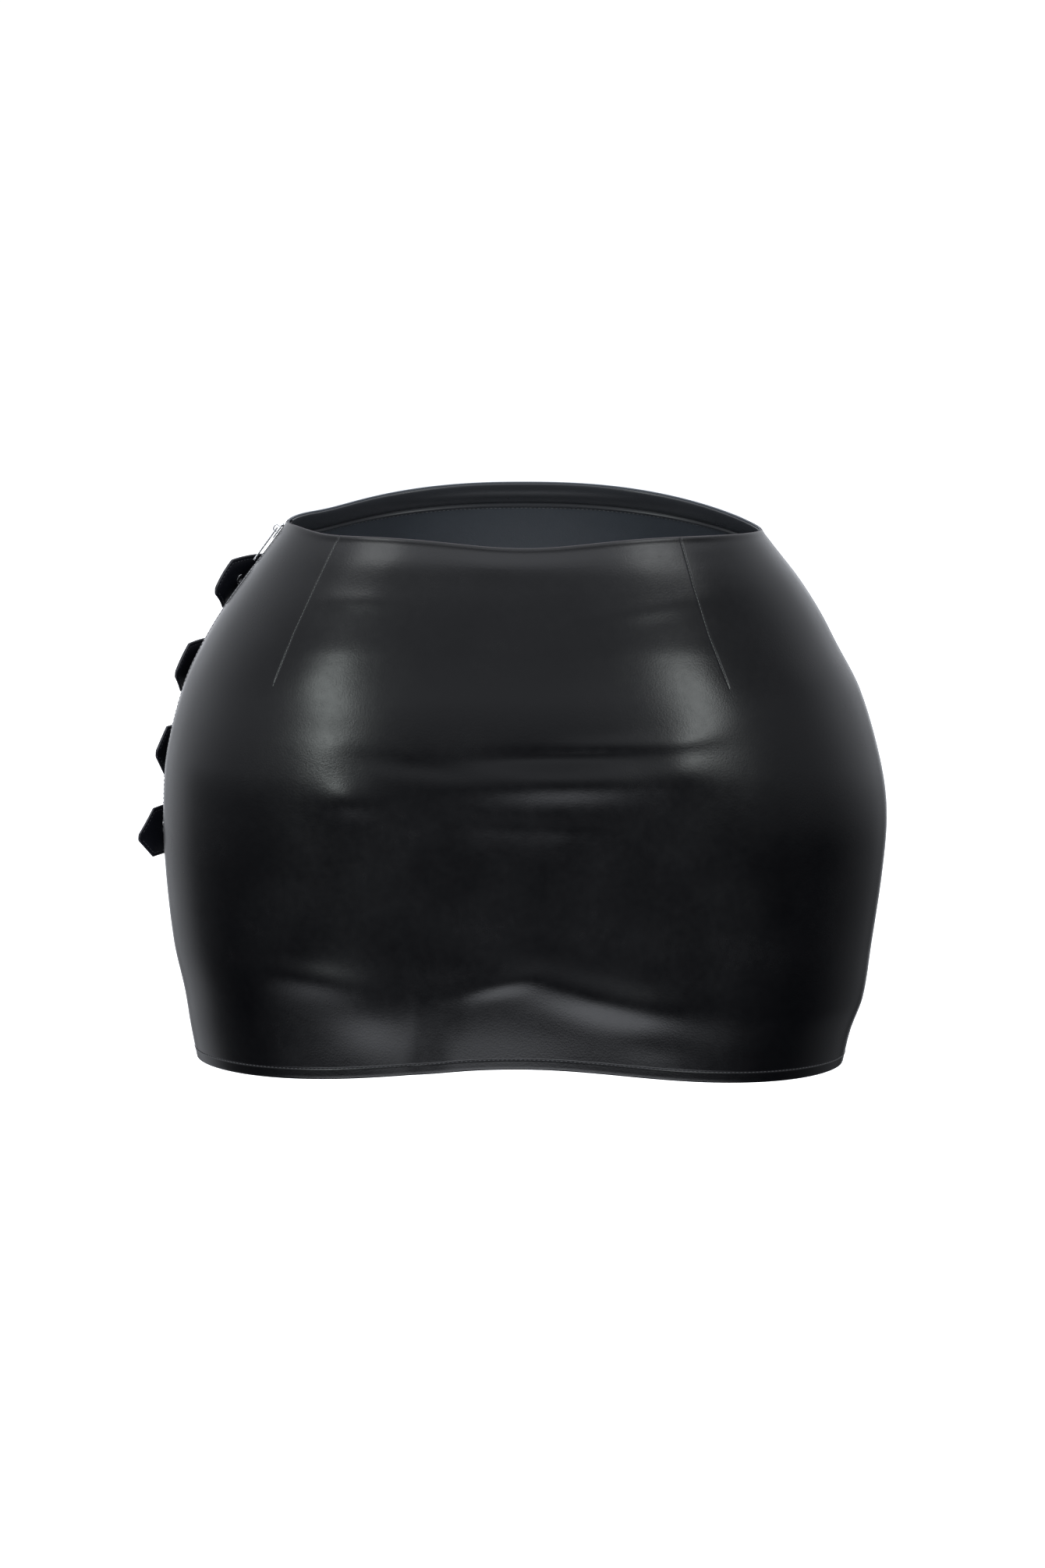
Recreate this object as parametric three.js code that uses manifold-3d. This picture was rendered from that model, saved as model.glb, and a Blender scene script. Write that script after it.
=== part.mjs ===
// A leather mini skirt in its worn form. Millimetres, +Z up, front towards -Y, the straps' side
// towards -X. The origin is the centre of the waist opening.
import * as THREE from 'three';
import { mergeVertices } from 'three/addons/utils/BufferGeometryUtils.js';
import Module from 'manifold-3d';

const wasm = await Module();
wasm.setup();

// The body of the skirt. A row gives the half widths and depths at one drop below the waist.
const LENGTH = 341;
const SECTIONS = [
  { drop: 0, left: 151, right: 151, front: 98, back: 104 },
  { drop: 11, left: 159, right: 159.5, front: 104, back: 112 },
  { drop: 32, left: 175, right: 176, front: 113, back: 126 },
  { drop: 53, left: 190.5, right: 189.5, front: 120, back: 139 },
  { drop: 73, left: 203, right: 200, front: 126, back: 149 },
  { drop: 102, left: 217, right: 215, front: 131, back: 160 },
  { drop: 146, left: 228.5, right: 228, front: 133, back: 168 },
  { drop: 178, left: 231, right: 232.5, front: 132, back: 169 },
  { drop: 213, left: 230.5, right: 230.5, front: 130, back: 166 },
  { drop: 266, left: 225, right: 223, front: 128, back: 154 },
  { drop: 298, left: 218, right: 218, front: 126, back: 146 },
  { drop: 320, left: 214.5, right: 210, front: 125, back: 141 },
  { drop: 341, left: 210.5, right: 205, front: 124, back: 138 },
];
const FRONT_SQUARENESS = 2.3;
const BACK_SQUARENESS = 2.12;

// The waist and hem edges. Heights are above or below the side seams' ends.
const WAIST_AT_SIDE = 2;
const WAIST_LIFT_AT_ZIP = 5;
const ZIP_LIFT_SPREAD = 0.12;
const BACK_WAIST_RISE = 22.5;
const BACK_WAIST_SQUARENESS = 2.4;
const FRONT_WAIST_RISE = 2.5;
const FRONT_WAIST_DIP = 7.5;
const FRONT_DIP_SPREAD = 0.4;
const HEM_AT_SIDE = -339.5;
const FRONT_HEM_LIFT = 12.5;
const FRONT_LIFT_SPREAD = 0.5;
const HEM_DROOP = 2.5;
const BACK_HEM_LIFT = 4;
const HEM_TILT = 1.8;

// The largest soft folds: place of the middle, half length, half width, height and turn in degrees.
const FOLDS = [
  { face: -1, x: 10, z: -127, long: 78, wide: 9, high: -1.6, turn: 2 },
  { face: -1, x: 28, z: -149, long: 60, wide: 11, high: 1.8, turn: 1 },
  { face: -1, x: 48, z: -290, long: 72, wide: 14, high: 2.8, turn: -17 },
  { face: -1, x: -135, z: -268, long: 34, wide: 16, high: 1.8, turn: 4 },
  { face: 1, x: -20, z: -252, long: 96, wide: 12, high: -2.2, turn: 3 },
  { face: 1, x: 46, z: -226, long: 70, wide: 12, high: 1.6, turn: -4 },
];

// Leather and grid sizes.
const WALL = 1.4;
const HEM_WALL = 2.7;
const HEM_DEPTH = 25;
const SEAM_GAP = 0.3;
const PANEL_COLUMNS = 28;
const PANEL_ROWS = 22;
const FACING_DEPTH = 16;
const FACING_WALL = 1;
const CLEAR = 0.5;
const BEND_STEP = 8;

// The zip in the side seam.
const ZIP_HALF_OPENING = 3.2;
const ZIP_END = 194;
const ZIP_CLOSING_FROM = 205;
const ZIP_CLOSING_TO = 221;
const CHAIN_START = 4.6;
const CHAIN_HALF = 2.2;
const CHAIN_TOP = 0.2;
const CHAIN_BOTTOM = -2.2;
const TAPE_INNER = 1.6;
const TAPE_OUTER = 13;
const TAPE_TOP = -2.5;
const TAPE_BOTTOM = -3.1;
const SLIDER_LENGTH = 11.5;
const SLIDER_HALF = 4;
const SLIDER_PLATE = 1.1;
const SLIDER_GAP = 0.3;
const SLIDER_DROP = 7;
const TAB_LENGTH = 25.5;
const TAB_HALF = 2.9;
const TAB_THICK = 1.1;
const BAIL_INNER = 1.5;
const BAIL_BAR = 1;
const BAIL_HALF = 0.8;
const BAIL_ROOM = 2.4;
const TAB_AXIS_HEIGHT = 1;

// The straps and buckles, along the run round the body from the side seam towards the back.
const STRAP_HALF = 16;
const STRAP_THICK = 2;
const STRAP_SEWN_END = 142;
const STRAP_POINT = 14;
const STRAP_TIP_HALF = 2;
const HEEL_BAR = 70;
const FAR_BAR = 94;
const BAR_HALF = 1.3;
const FRAME_HALF = 18.6;
const FRAME_CORNER = 5;
const FRAME_BOTTOM = 2.9;
const FRAME_TOP = 5.1;
const STRAP_OVER_HEEL = 8.4;
const STRAP_RISE_FROM = 90;
const STRAP_RISE_TO = 74;
const STRAP_FREE_FROM = 66;
const SLOT_MIDDLE = 82;
const SLOT_HALF_LENGTH = 4.4;
const SLOT_HALF_WIDTH = 1.9;
const CHAPE_HALF = 15;
const CHAPE_END = 30;
const CHAPE_WALL = 1;
const LOOP_GAP = 0.6;
const CHAPE_SLOT_HALF = 2.6;
const PRONG_RADIUS = 0.85;
const EYELET_FROM_TIP = 26;
const EYELET_HOLE = 1.7;
const EYELET_BARREL = 2.2;
const EYELET_FLANGE = 3.4;
const EYELET_PLATE = 0.6;

// A row gives one strap: its drop below the waist, where its point ends and how far its lower edge
// leans out there.
const STRAPS = [
  { drop: 46, tipX: -198.5, tipY: 27.5, tipZ: -41, lean: 0.5 },
  { drop: 99.5, tipX: -224.5, tipY: 32, tipZ: -95, lean: 3 },
  { drop: 153, tipX: -237.5, tipY: 35.5, tipZ: -147, lean: 1.5 },
  { drop: 202, tipX: -249, tipY: 31, tipZ: -201, lean: 2 },
];

const LEATHER = { color: 0x141418, roughness: 0.38, metalness: 0 };
const METAL = { color: 0xc9c9cc, roughness: 0.25, metalness: 1 };
const TAPE = { color: 0x0e0e10, roughness: 0.9, metalness: 0 };

const skirt = new THREE.Group();

function addPiece(name, geometry, finish) {
  const mesh = new THREE.Mesh(geometry, new THREE.MeshStandardMaterial(finish));
  mesh.name = name;
  skirt.add(mesh);
  return mesh;
}

// A smooth curve through one column of the sections.
function sectionSize(column, drop) {
  const last = SECTIONS.length - 1;
  let row = 0;
  while (row < last - 1 && SECTIONS[row + 1].drop < drop) row += 1;
  const slope = (index) => {
    const before = SECTIONS[Math.max(index - 1, 0)];
    const after = SECTIONS[Math.min(index + 1, last)];
    return (after[column] - before[column]) / (after.drop - before.drop);
  };
  const span = SECTIONS[row + 1].drop - SECTIONS[row].drop;
  const t = (drop - SECTIONS[row].drop) / span;
  const start = SECTIONS[row][column];
  const end = SECTIONS[row + 1][column];
  const ease = t * t * (3 - 2 * t);
  const startPull = t * (1 - t) * (1 - t) * span * slope(row);
  const endPull = t * t * (t - 1) * span * slope(row + 1);
  return start + (end - start) * ease + startPull + endPull;
}

// The waist and hem heights, across the body from -1 at one side seam to 1 at the other.
function waistHeight(across, front) {
  const atSide = WAIST_AT_SIDE + WAIST_LIFT_AT_ZIP * Math.exp(-(((1 + across) / ZIP_LIFT_SPREAD) ** 2));
  if (front) {
    const dip = FRONT_WAIST_DIP * Math.exp(-((across / FRONT_DIP_SPREAD) ** 2));
    return atSide + FRONT_WAIST_RISE * (1 - across ** 2) - dip;
  }
  return atSide + BACK_WAIST_RISE * (1 - Math.abs(across) ** BACK_WAIST_SQUARENESS);
}

function hemHeight(across, front) {
  const level = HEM_AT_SIDE - HEM_TILT * across;
  if (front) {
    const lift = FRONT_HEM_LIFT * Math.exp(-((across / FRONT_LIFT_SPREAD) ** 2));
    return level - HEM_DROOP * (1 - across ** 8) + lift;
  }
  return level + BACK_HEM_LIFT * (1 - across ** 2);
}

function foldOut(x, z, front) {
  let out = 0;
  for (const fold of FOLDS) {
    if (fold.face < 0 !== front) continue;
    const turn = THREE.MathUtils.degToRad(fold.turn);
    const along = (x - fold.x) * Math.cos(turn) + (z - fold.z) * Math.sin(turn);
    const over = (z - fold.z) * Math.cos(turn) - (x - fold.x) * Math.sin(turn);
    out += fold.high * Math.exp(-((along / fold.long) ** 2) - ((over / fold.wide) ** 2));
  }
  return out;
}

// A point on the skirt's outside. The turn is 0 at the zip's seam, a quarter turn at the front's
// middle, a half turn at the other seam; drop is measured down the side.
function outside(turn, drop) {
  const front = Math.sin(turn) >= 0;
  const squareness = front ? FRONT_SQUARENESS : BACK_SQUARENESS;
  const cosine = Math.cos(turn);
  const sine = Math.sin(turn);
  const across = -Math.sign(cosine) * Math.abs(cosine) ** (2 / squareness);
  const deep = Math.abs(sine) ** (2 / squareness);
  const part = drop / LENGTH;
  const z = waistHeight(across, front) * (1 - part) + hemHeight(across, front) * part;
  const x = across * sectionSize(across < 0 ? 'left' : 'right', drop);
  const depth = sectionSize(front ? 'front' : 'back', drop) + foldOut(x, z, front);
  return new THREE.Vector3(x, front ? -deep * depth : deep * depth, z);
}

// The outside point moved out along its normal.
function skin(turn, drop, out) {
  const step = 0.004;
  const round = outside(turn + step, drop).sub(outside(turn - step, drop));
  const down = outside(turn, drop + 1).sub(outside(turn, drop - 1));
  const normal = new THREE.Vector3().crossVectors(down, round).normalize();
  return outside(turn, drop).addScaledVector(normal, out);
}

// The turn at a run round the body from the zip's seam: towards the back is positive.
const RUN_STEP = 0.005;
function turnAtRun(run, drop) {
  let turn = 0;
  let left = Math.abs(run);
  let here = outside(0, drop);
  while (left > 0) {
    const next = outside(turn - Math.sign(run) * RUN_STEP, drop);
    const gone = next.distanceTo(here);
    turn -= Math.sign(run) * RUN_STEP * Math.min(1, left / gone);
    left -= gone;
    here = next;
  }
  return turn;
}

function turnFromFarSeam(run, drop) {
  let turn = Math.PI;
  let left = Math.abs(run);
  while (left > 0) {
    const gone = outside(turn - Math.sign(run) * RUN_STEP, drop).distanceTo(outside(turn, drop));
    turn -= Math.sign(run) * RUN_STEP * Math.min(1, left / gone);
    left -= gone;
  }
  return turn;
}

// Turns that lie evenly round the body at hip height, from one fraction of a half to the other.
const HIP_DROP = 170;
function evenTurns(from, to, count) {
  const samples = 400;
  const lengths = [0];
  const turns = [from];
  for (let i = 1; i <= samples; i += 1) {
    turns.push(from + ((to - from) * i) / samples);
    lengths.push(lengths[i - 1] + outside(turns[i], HIP_DROP).distanceTo(outside(turns[i - 1], HIP_DROP)));
  }
  const fractions = [];
  for (let j = 0; j <= count; j += 1) {
    const wanted = (lengths[samples] * j) / count;
    let i = 1;
    while (i < samples && lengths[i] < wanted) i += 1;
    const part = (wanted - lengths[i - 1]) / (lengths[i] - lengths[i - 1]);
    fractions.push((turns[i - 1] + (turns[i] - turns[i - 1]) * part - from) / (to - from));
  }
  return fractions;
}

function geometryOf(points, faces) {
  const geometry = new THREE.BufferGeometry();
  geometry.setAttribute('position', new THREE.Float32BufferAttribute(points.flatMap((p) => p.toArray()), 3));
  geometry.setIndex(faces.flat());
  return facedOut(geometry);
}

// Turns the faces round where the body's volume comes out negative.
function facedOut(geometry) {
  const position = geometry.attributes.position;
  const index = geometry.index;
  const corners = [new THREE.Vector3(), new THREE.Vector3(), new THREE.Vector3()];
  let volume = 0;
  for (let i = 0; i < index.count; i += 3) {
    corners.forEach((corner, k) => corner.fromBufferAttribute(position, index.getX(i + k)));
    volume += corners[0].dot(corners[1].clone().cross(corners[2]));
  }
  if (volume < 0) {
    for (let i = 0; i < index.count; i += 3) {
      const second = index.getX(i + 1);
      index.setX(i + 1, index.getX(i + 2));
      index.setX(i + 2, second);
    }
  }
  geometry.computeVertexNormals();
  return geometry;
}

// A closed body between two grids of points with the same rows and columns.
function wallBetween(outer, inner) {
  const rows = outer.length;
  const columns = outer[0].length;
  const points = [...outer.flat(), ...inner.flat()];
  const at = (side, i, j) => side * rows * columns + i * columns + j;
  const faces = [];
  const quad = (a, b, c, d) => faces.push([a, b, c], [a, c, d]);
  for (let i = 0; i < rows - 1; i += 1) {
    for (let j = 0; j < columns - 1; j += 1) {
      quad(at(0, i, j), at(0, i + 1, j), at(0, i + 1, j + 1), at(0, i, j + 1));
      quad(at(1, i, j), at(1, i, j + 1), at(1, i + 1, j + 1), at(1, i + 1, j));
    }
  }
  for (let j = 0; j < columns - 1; j += 1) {
    quad(at(0, 0, j), at(0, 0, j + 1), at(1, 0, j + 1), at(1, 0, j));
    quad(at(0, rows - 1, j), at(1, rows - 1, j), at(1, rows - 1, j + 1), at(0, rows - 1, j + 1));
  }
  for (let i = 0; i < rows - 1; i += 1) {
    quad(at(0, i, 0), at(1, i, 0), at(1, i + 1, 0), at(0, i + 1, 0));
    quad(at(0, i, columns - 1), at(0, i + 1, columns - 1), at(1, i + 1, columns - 1), at(1, i, columns - 1));
  }
  return geometryOf(points, faces);
}

// A closed body through rings of points, each ring convex. A loop joins its last ring to its first.
function throughRings(rings, loop = false) {
  const size = rings[0].length;
  const faces = [];
  const spans = loop ? rings.length : rings.length - 1;
  for (let i = 0; i < spans; i += 1) {
    const here = i * size;
    const there = ((i + 1) % rings.length) * size;
    for (let j = 0; j < size; j += 1) {
      const next = (j + 1) % size;
      faces.push([here + j, here + next, there + next], [here + j, there + next, there + j]);
    }
  }
  const end = (rings.length - 1) * size;
  for (let j = 1; j < size - 1 && !loop; j += 1) {
    faces.push([0, j + 1, j], [end, end + j, end + j + 1]);
  }
  return geometryOf(rings.flat(), faces);
}

function toSolid(geometry) {
  const bare = geometry.clone();
  for (const extra of ['normal', 'uv']) bare.deleteAttribute(extra);
  const merged = mergeVertices(bare, 1e-4);
  return new wasm.Manifold(new wasm.Mesh({
    numProp: 3,
    vertProperties: new Float32Array(merged.attributes.position.array),
    triVerts: new Uint32Array(merged.index.array),
  }));
}

function fromSolid(solid) {
  const mesh = solid.getMesh();
  const geometry = new THREE.BufferGeometry();
  geometry.setAttribute('position', new THREE.BufferAttribute(mesh.vertProperties, 3));
  geometry.setIndex(new THREE.BufferAttribute(mesh.triVerts, 1));
  return facedOut(geometry);
}

// Front and back panels

// Half the parting at the zip's seam: open along the zip, then closed to the seam's gap.
function zipParting(drop) {
  const closing = THREE.MathUtils.smoothstep(drop, ZIP_CLOSING_FROM, ZIP_CLOSING_TO);
  return ZIP_HALF_OPENING * (1 - closing) + (SEAM_GAP / 2) * closing;
}

function panelRows() {
  const rows = [0];
  const plain = LENGTH - HEM_DEPTH;
  for (let i = 1; i <= PANEL_ROWS - 2; i += 1) rows.push((plain * i) / (PANEL_ROWS - 2));
  rows.push(plain + 1.2, (plain + LENGTH) / 2, LENGTH);
  return rows;
}

function panel(name, front) {
  const side = front ? -1 : 1;
  const fractions = evenTurns(0, front ? Math.PI : -Math.PI, PANEL_COLUMNS);
  const outer = [];
  const inner = [];
  for (const drop of panelRows()) {
    const start = turnAtRun(side * zipParting(drop), drop);
    const farSeam = turnFromFarSeam((-side * SEAM_GAP) / 2, drop);
    const end = front ? farSeam : farSeam - 2 * Math.PI;
    const wall = drop > LENGTH - HEM_DEPTH + 1 ? HEM_WALL : WALL;
    outer.push(fractions.map((f) => skin(start + (end - start) * f, drop, 0)));
    inner.push(fractions.map((f) => skin(start + (end - start) * f, drop, -wall)));
  }
  addPiece(name, wallBetween(outer, inner), LEATHER);
}

panel('front_panel', true);
panel('back_panel', false);

// The facing inside the back waist, from seam to seam.
function facing() {
  const clear = TAPE_OUTER + 3;
  const outer = [];
  const inner = [];
  const fractions = evenTurns(0, -Math.PI, PANEL_COLUMNS);
  for (const drop of [0.4, FACING_DEPTH / 3, (2 * FACING_DEPTH) / 3, FACING_DEPTH]) {
    const start = turnAtRun(clear, drop);
    const end = turnFromFarSeam(-2, drop) - 2 * Math.PI;
    const top = -WALL - CLEAR;
    outer.push(fractions.map((f) => skin(start + (end - start) * f, drop, top)));
    inner.push(fractions.map((f) => skin(start + (end - start) * f, drop, top - FACING_WALL)));
  }
  addPiece('waist_facing_back', wallBetween(outer, inner), LEATHER);
}
facing();

// Zip tapes and teeth, down the seam

function stripDownSeam(name, from, to, runs, bottom, top, steps, finish) {
  const rings = [];
  for (let i = 0; i <= steps; i += 1) {
    const drop = from + ((to - from) * i) / steps;
    const turns = runs.map((run) => turnAtRun(run, drop));
    rings.push([
      ...turns.map((turn) => skin(turn, drop, top)),
      ...turns.slice().reverse().map((turn) => skin(turn, drop, bottom)),
    ]);
  }
  addPiece(name, throughRings(rings), finish);
}

const TAPE_START = 0.6;
const TAPE_TAIL = 8;
stripDownSeam('zip_tape_front', TAPE_START, ZIP_END + TAPE_TAIL,
  [-TAPE_OUTER, -TAPE_INNER], TAPE_BOTTOM, TAPE_TOP, 14, TAPE);
stripDownSeam('zip_tape_back', TAPE_START, ZIP_END + TAPE_TAIL,
  [TAPE_INNER, TAPE_OUTER], TAPE_BOTTOM, TAPE_TOP, 14, TAPE);
stripDownSeam('zip_chain', CHAIN_START, ZIP_END - 3,
  [-CHAIN_HALF, CHAIN_HALF], CHAIN_BOTTOM, CHAIN_TOP, 14, METAL);
stripDownSeam('zip_bottom_stop', ZIP_END - 2.6, ZIP_END,
  [-CHAIN_HALF - 0.4, CHAIN_HALF + 0.4], CHAIN_BOTTOM, CHAIN_TOP + 0.3, 1, METAL);

// Slider and pull tab, in a frame at the top of the seam: X round towards the front, Y up the seam,
// Z out of the leather.
function seamFrame() {
  const origin = outside(0, SLIDER_DROP);
  const up = outside(0, 1).sub(outside(0, 2 * SLIDER_DROP)).normalize();
  const forward = new THREE.Vector3(0, -1, 0);
  const out = new THREE.Vector3().crossVectors(forward, up).normalize();
  return new THREE.Matrix4().makeBasis(forward, up, out).setPosition(origin);
}
const SEAM_FRAME = seamFrame();

function block(x0, x1, y0, y1, z0, z1) {
  const geometry = new THREE.BoxGeometry(x1 - x0, y1 - y0, z1 - z0);
  return geometry.translate((x0 + x1) / 2, (y0 + y1) / 2, (z0 + z1) / 2);
}

function sliderPlate(bottom, top) {
  const half = SLIDER_LENGTH / 2;
  const waist = SLIDER_HALF * 0.72;
  const shape = new THREE.Shape();
  shape.moveTo(-waist, -half);
  shape.lineTo(waist, -half);
  shape.lineTo(waist, -half * 0.3);
  shape.lineTo(SLIDER_HALF, half * 0.45);
  shape.quadraticCurveTo(SLIDER_HALF, half, SLIDER_HALF * 0.4, half);
  shape.lineTo(-SLIDER_HALF * 0.4, half);
  shape.quadraticCurveTo(-SLIDER_HALF, half, -SLIDER_HALF, half * 0.45);
  shape.lineTo(-waist, -half * 0.3);
  shape.closePath();
  const settings = { depth: top - bottom, bevelEnabled: false, curveSegments: 4 };
  return new THREE.ExtrudeGeometry(shape, settings).translate(0, 0, bottom);
}

const PLATE_BOTTOM = CHAIN_TOP + SLIDER_GAP;
const PLATE_TOP = PLATE_BOTTOM + SLIDER_PLATE;
const UNDER_TOP = TAPE_BOTTOM - SLIDER_GAP;
const TAB_AXIS_UP = 0.6;

function slider() {
  const post = block(-1.1, 1.1, 3.4, 5, UNDER_TOP - 0.5, PLATE_BOTTOM + 0.5);
  const outerBail = BAIL_INNER + BAIL_BAR;
  const bailTop = PLATE_TOP + BAIL_ROOM;
  const crown = block(-BAIL_HALF, BAIL_HALF, TAB_AXIS_UP - outerBail, TAB_AXIS_UP + outerBail,
    bailTop, bailTop + BAIL_BAR);
  const foot = (y) => block(-BAIL_HALF, BAIL_HALF, y, y + BAIL_BAR, PLATE_TOP - 0.4, bailTop + 0.4);
  const solid = toSolid(sliderPlate(PLATE_BOTTOM, PLATE_TOP))
    .add(toSolid(sliderPlate(UNDER_TOP - SLIDER_PLATE, UNDER_TOP)))
    .add(toSolid(post))
    .add(toSolid(crown))
    .add(toSolid(foot(TAB_AXIS_UP - outerBail)))
    .add(toSolid(foot(TAB_AXIS_UP + BAIL_INNER)));
  return fromSolid(solid);
}
const sliderMesh = addPiece('zip_slider', slider(), METAL);
sliderMesh.applyMatrix4(SEAM_FRAME);

function pullTab() {
  const bar = 0.7;
  const shape = new THREE.Shape();
  shape.moveTo(-TAB_HALF * 0.8, bar);
  shape.lineTo(TAB_HALF * 0.8, bar);
  shape.lineTo(TAB_HALF, -TAB_LENGTH * 0.35);
  shape.lineTo(TAB_HALF, -TAB_LENGTH + TAB_HALF);
  shape.absarc(0, -TAB_LENGTH + TAB_HALF, TAB_HALF, 0, -Math.PI, true);
  shape.lineTo(-TAB_HALF, -TAB_LENGTH * 0.35);
  shape.closePath();
  const window = new THREE.Path();
  const half = 1.35;
  window.moveTo(-half, -bar);
  window.lineTo(-half, -bar - 4.2);
  window.lineTo(half, -bar - 4.2);
  window.lineTo(half, -bar);
  window.closePath();
  shape.holes.push(window);
  const settings = { depth: TAB_THICK, bevelEnabled: false, curveSegments: 8 };
  return new THREE.ExtrudeGeometry(shape, settings).translate(0, 0, -TAB_THICK / 2);
}
const tabMesh = addPiece('zip_pull_tab', pullTab(), METAL);
tabMesh.position.set(0, TAB_AXIS_UP, PLATE_TOP + TAB_AXIS_HEIGHT);
tabMesh.applyMatrix4(SEAM_FRAME);

// Straps, chapes, buckles and eyelets

// A place on the panel round one strap: run from the seam, distance below the strap's middle, height.
function besideStrap(strap, run, below, height) {
  const drop = strap.drop + below * strap.dropPerMillimetre;
  return skin(turnAtRun(run, drop), drop, height);
}

for (const strap of STRAPS) {
  const turn = turnAtRun(HEEL_BAR, strap.drop);
  strap.dropPerMillimetre = 2 / outside(turn, strap.drop + 1).distanceTo(outside(turn, strap.drop - 1));
}

function strapHeight(run) {
  const lying = CLEAR + STRAP_THICK / 2;
  const rise = THREE.MathUtils.smoothstep(STRAP_RISE_FROM - run, 0, STRAP_RISE_FROM - STRAP_RISE_TO);
  return lying + (STRAP_OVER_HEEL - lying) * rise;
}

// The free end: a curve from over the heel bar to the point. It gives the middle and two directions.
function freeEnd(strap, part) {
  const start = besideStrap(strap, STRAP_FREE_FROM, 0, STRAP_OVER_HEEL);
  const behind = besideStrap(strap, STRAP_FREE_FROM + 2, 0, STRAP_OVER_HEEL);
  const tip = new THREE.Vector3(strap.tipX, strap.tipY, strap.tipZ);
  const leave = start.clone().sub(behind).normalize();
  const middle = start.clone().addScaledVector(leave, start.distanceTo(tip) * 0.5);
  const curve = new THREE.QuadraticBezierCurve3(start, middle, tip);
  const edge = besideStrap(strap, STRAP_FREE_FROM, STRAP_HALF, STRAP_OVER_HEEL);
  const startDown = edge.sub(start).normalize();
  const tipDown = new THREE.Vector3(-strap.lean / (2 * STRAP_HALF), 0, -1).normalize();
  const down = startDown.lerp(tipDown, part).normalize();
  const along = curve.getTangent(part);
  const out = new THREE.Vector3().crossVectors(down, along).normalize();
  return { centre: curve.getPoint(part), along, down, out, length: curve.getLength() };
}

function strapRing(place, half) {
  const low = -STRAP_THICK / 2;
  const high = STRAP_THICK / 2;
  return [[-half, low], [0, low], [half, low], [half, high], [0, high], [-half, high]]
    .map(([below, height]) => place(below, height));
}

function strapSolid(strap) {
  const rings = [];
  const lyingRuns = [STRAP_SEWN_END, 130, 118, 106, 96, 92, 90, 88, 86, 84, 82, 80, 78, 76, 74, 70];
  for (const run of lyingRuns) {
    rings.push(strapRing((below, height) => besideStrap(strap, run, below, strapHeight(run) + height),
      STRAP_HALF));
  }
  const { length } = freeEnd(strap, 0);
  const shoulder = 1 - STRAP_POINT / length;
  for (const part of [0, 0.25 * shoulder, 0.5 * shoulder, 0.75 * shoulder, shoulder, 1]) {
    const { centre, down, out } = freeEnd(strap, part);
    const half = part === 1 ? STRAP_TIP_HALF : STRAP_HALF;
    rings.push(strapRing((below, height) => centre.clone()
      .addScaledVector(down, below).addScaledVector(out, height), half));
  }
  return toSolid(throughRings(rings));
}

function slotThroughStrap(strap) {
  const outline = [];
  for (let i = 0; i < 12; i += 1) {
    const angle = (i / 12) * 2 * Math.PI;
    outline.push([SLOT_MIDDLE + SLOT_HALF_LENGTH * Math.cos(angle), SLOT_HALF_WIDTH * Math.sin(angle)]);
  }
  const rings = [-0.2, STRAP_OVER_HEEL + STRAP_THICK].map((height) => outline
    .map(([run, below]) => besideStrap(strap, run, below, height)));
  return toSolid(throughRings(rings));
}

function eyeletFrame(strap) {
  const { length } = freeEnd(strap, 0);
  const { centre, along, out } = freeEnd(strap, 1 - EYELET_FROM_TIP / length);
  const side = new THREE.Vector3().crossVectors(out, along).normalize();
  const forward = new THREE.Vector3().crossVectors(side, out).normalize();
  const turned = new THREE.Matrix4().makeBasis(side, out, forward);
  return turned.setPosition(centre);
}

function eyelet() {
  const inside = STRAP_THICK / 2 + SEAM_GAP;
  const outside = inside + EYELET_PLATE;
  const profile = [
    [EYELET_HOLE, -outside], [EYELET_FLANGE, -outside + 0.2], [EYELET_FLANGE, -inside],
    [EYELET_BARREL, -inside], [EYELET_BARREL, inside], [EYELET_FLANGE, inside],
    [EYELET_FLANGE, outside - 0.2], [EYELET_HOLE, outside], [EYELET_HOLE, -outside],
  ];
  return new THREE.LatheGeometry(profile.map(([r, y]) => new THREE.Vector2(r, y)), 12);
}

// The chape: one strip that comes back over itself round the heel bar. A row of the line holds the run
// and the height of the strip's middle.
function chapeLine() {
  const under = CLEAR + CHAPE_WALL / 2;
  const over = under + CHAPE_WALL + SEAM_GAP;
  const top = FRAME_TOP + LOOP_GAP + CHAPE_WALL / 2;
  const back = HEEL_BAR + BAR_HALF + LOOP_GAP + CHAPE_WALL / 2;
  const line = [];
  for (let run = CHAPE_END; run < HEEL_BAR; run += BEND_STEP) line.push([run, under]);
  line.push([HEEL_BAR, under], [back - 0.7, under + 0.4], [back, under + 1.3], [back, top - 1.3],
    [back - 0.7, top - 0.3], [HEEL_BAR, top], [HEEL_BAR - 2.5, top - 0.3], [HEEL_BAR - 7, over + 1.4],
    [HEEL_BAR - 11, over + 0.3]);
  for (let run = HEEL_BAR - 15; run > CHAPE_END; run -= BEND_STEP) line.push([run, over]);
  line.push([CHAPE_END, over]);
  return line.map(([run, height]) => new THREE.Vector2(run, height));
}

function directionAt(line, i) {
  return line[Math.min(i + 1, line.length - 1)].clone().sub(line[Math.max(i - 1, 0)]).normalize();
}

// Bends a flat box round the body: X is the run, Y the height and Z the distance below.
function bentBox(geometry, strap) {
  const position = geometry.attributes.position;
  for (let i = 0; i < position.count; i += 1) {
    const point = besideStrap(strap, position.getX(i), position.getZ(i), position.getY(i));
    position.setXYZ(i, ...point.toArray());
  }
  return facedOut(geometry);
}

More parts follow.
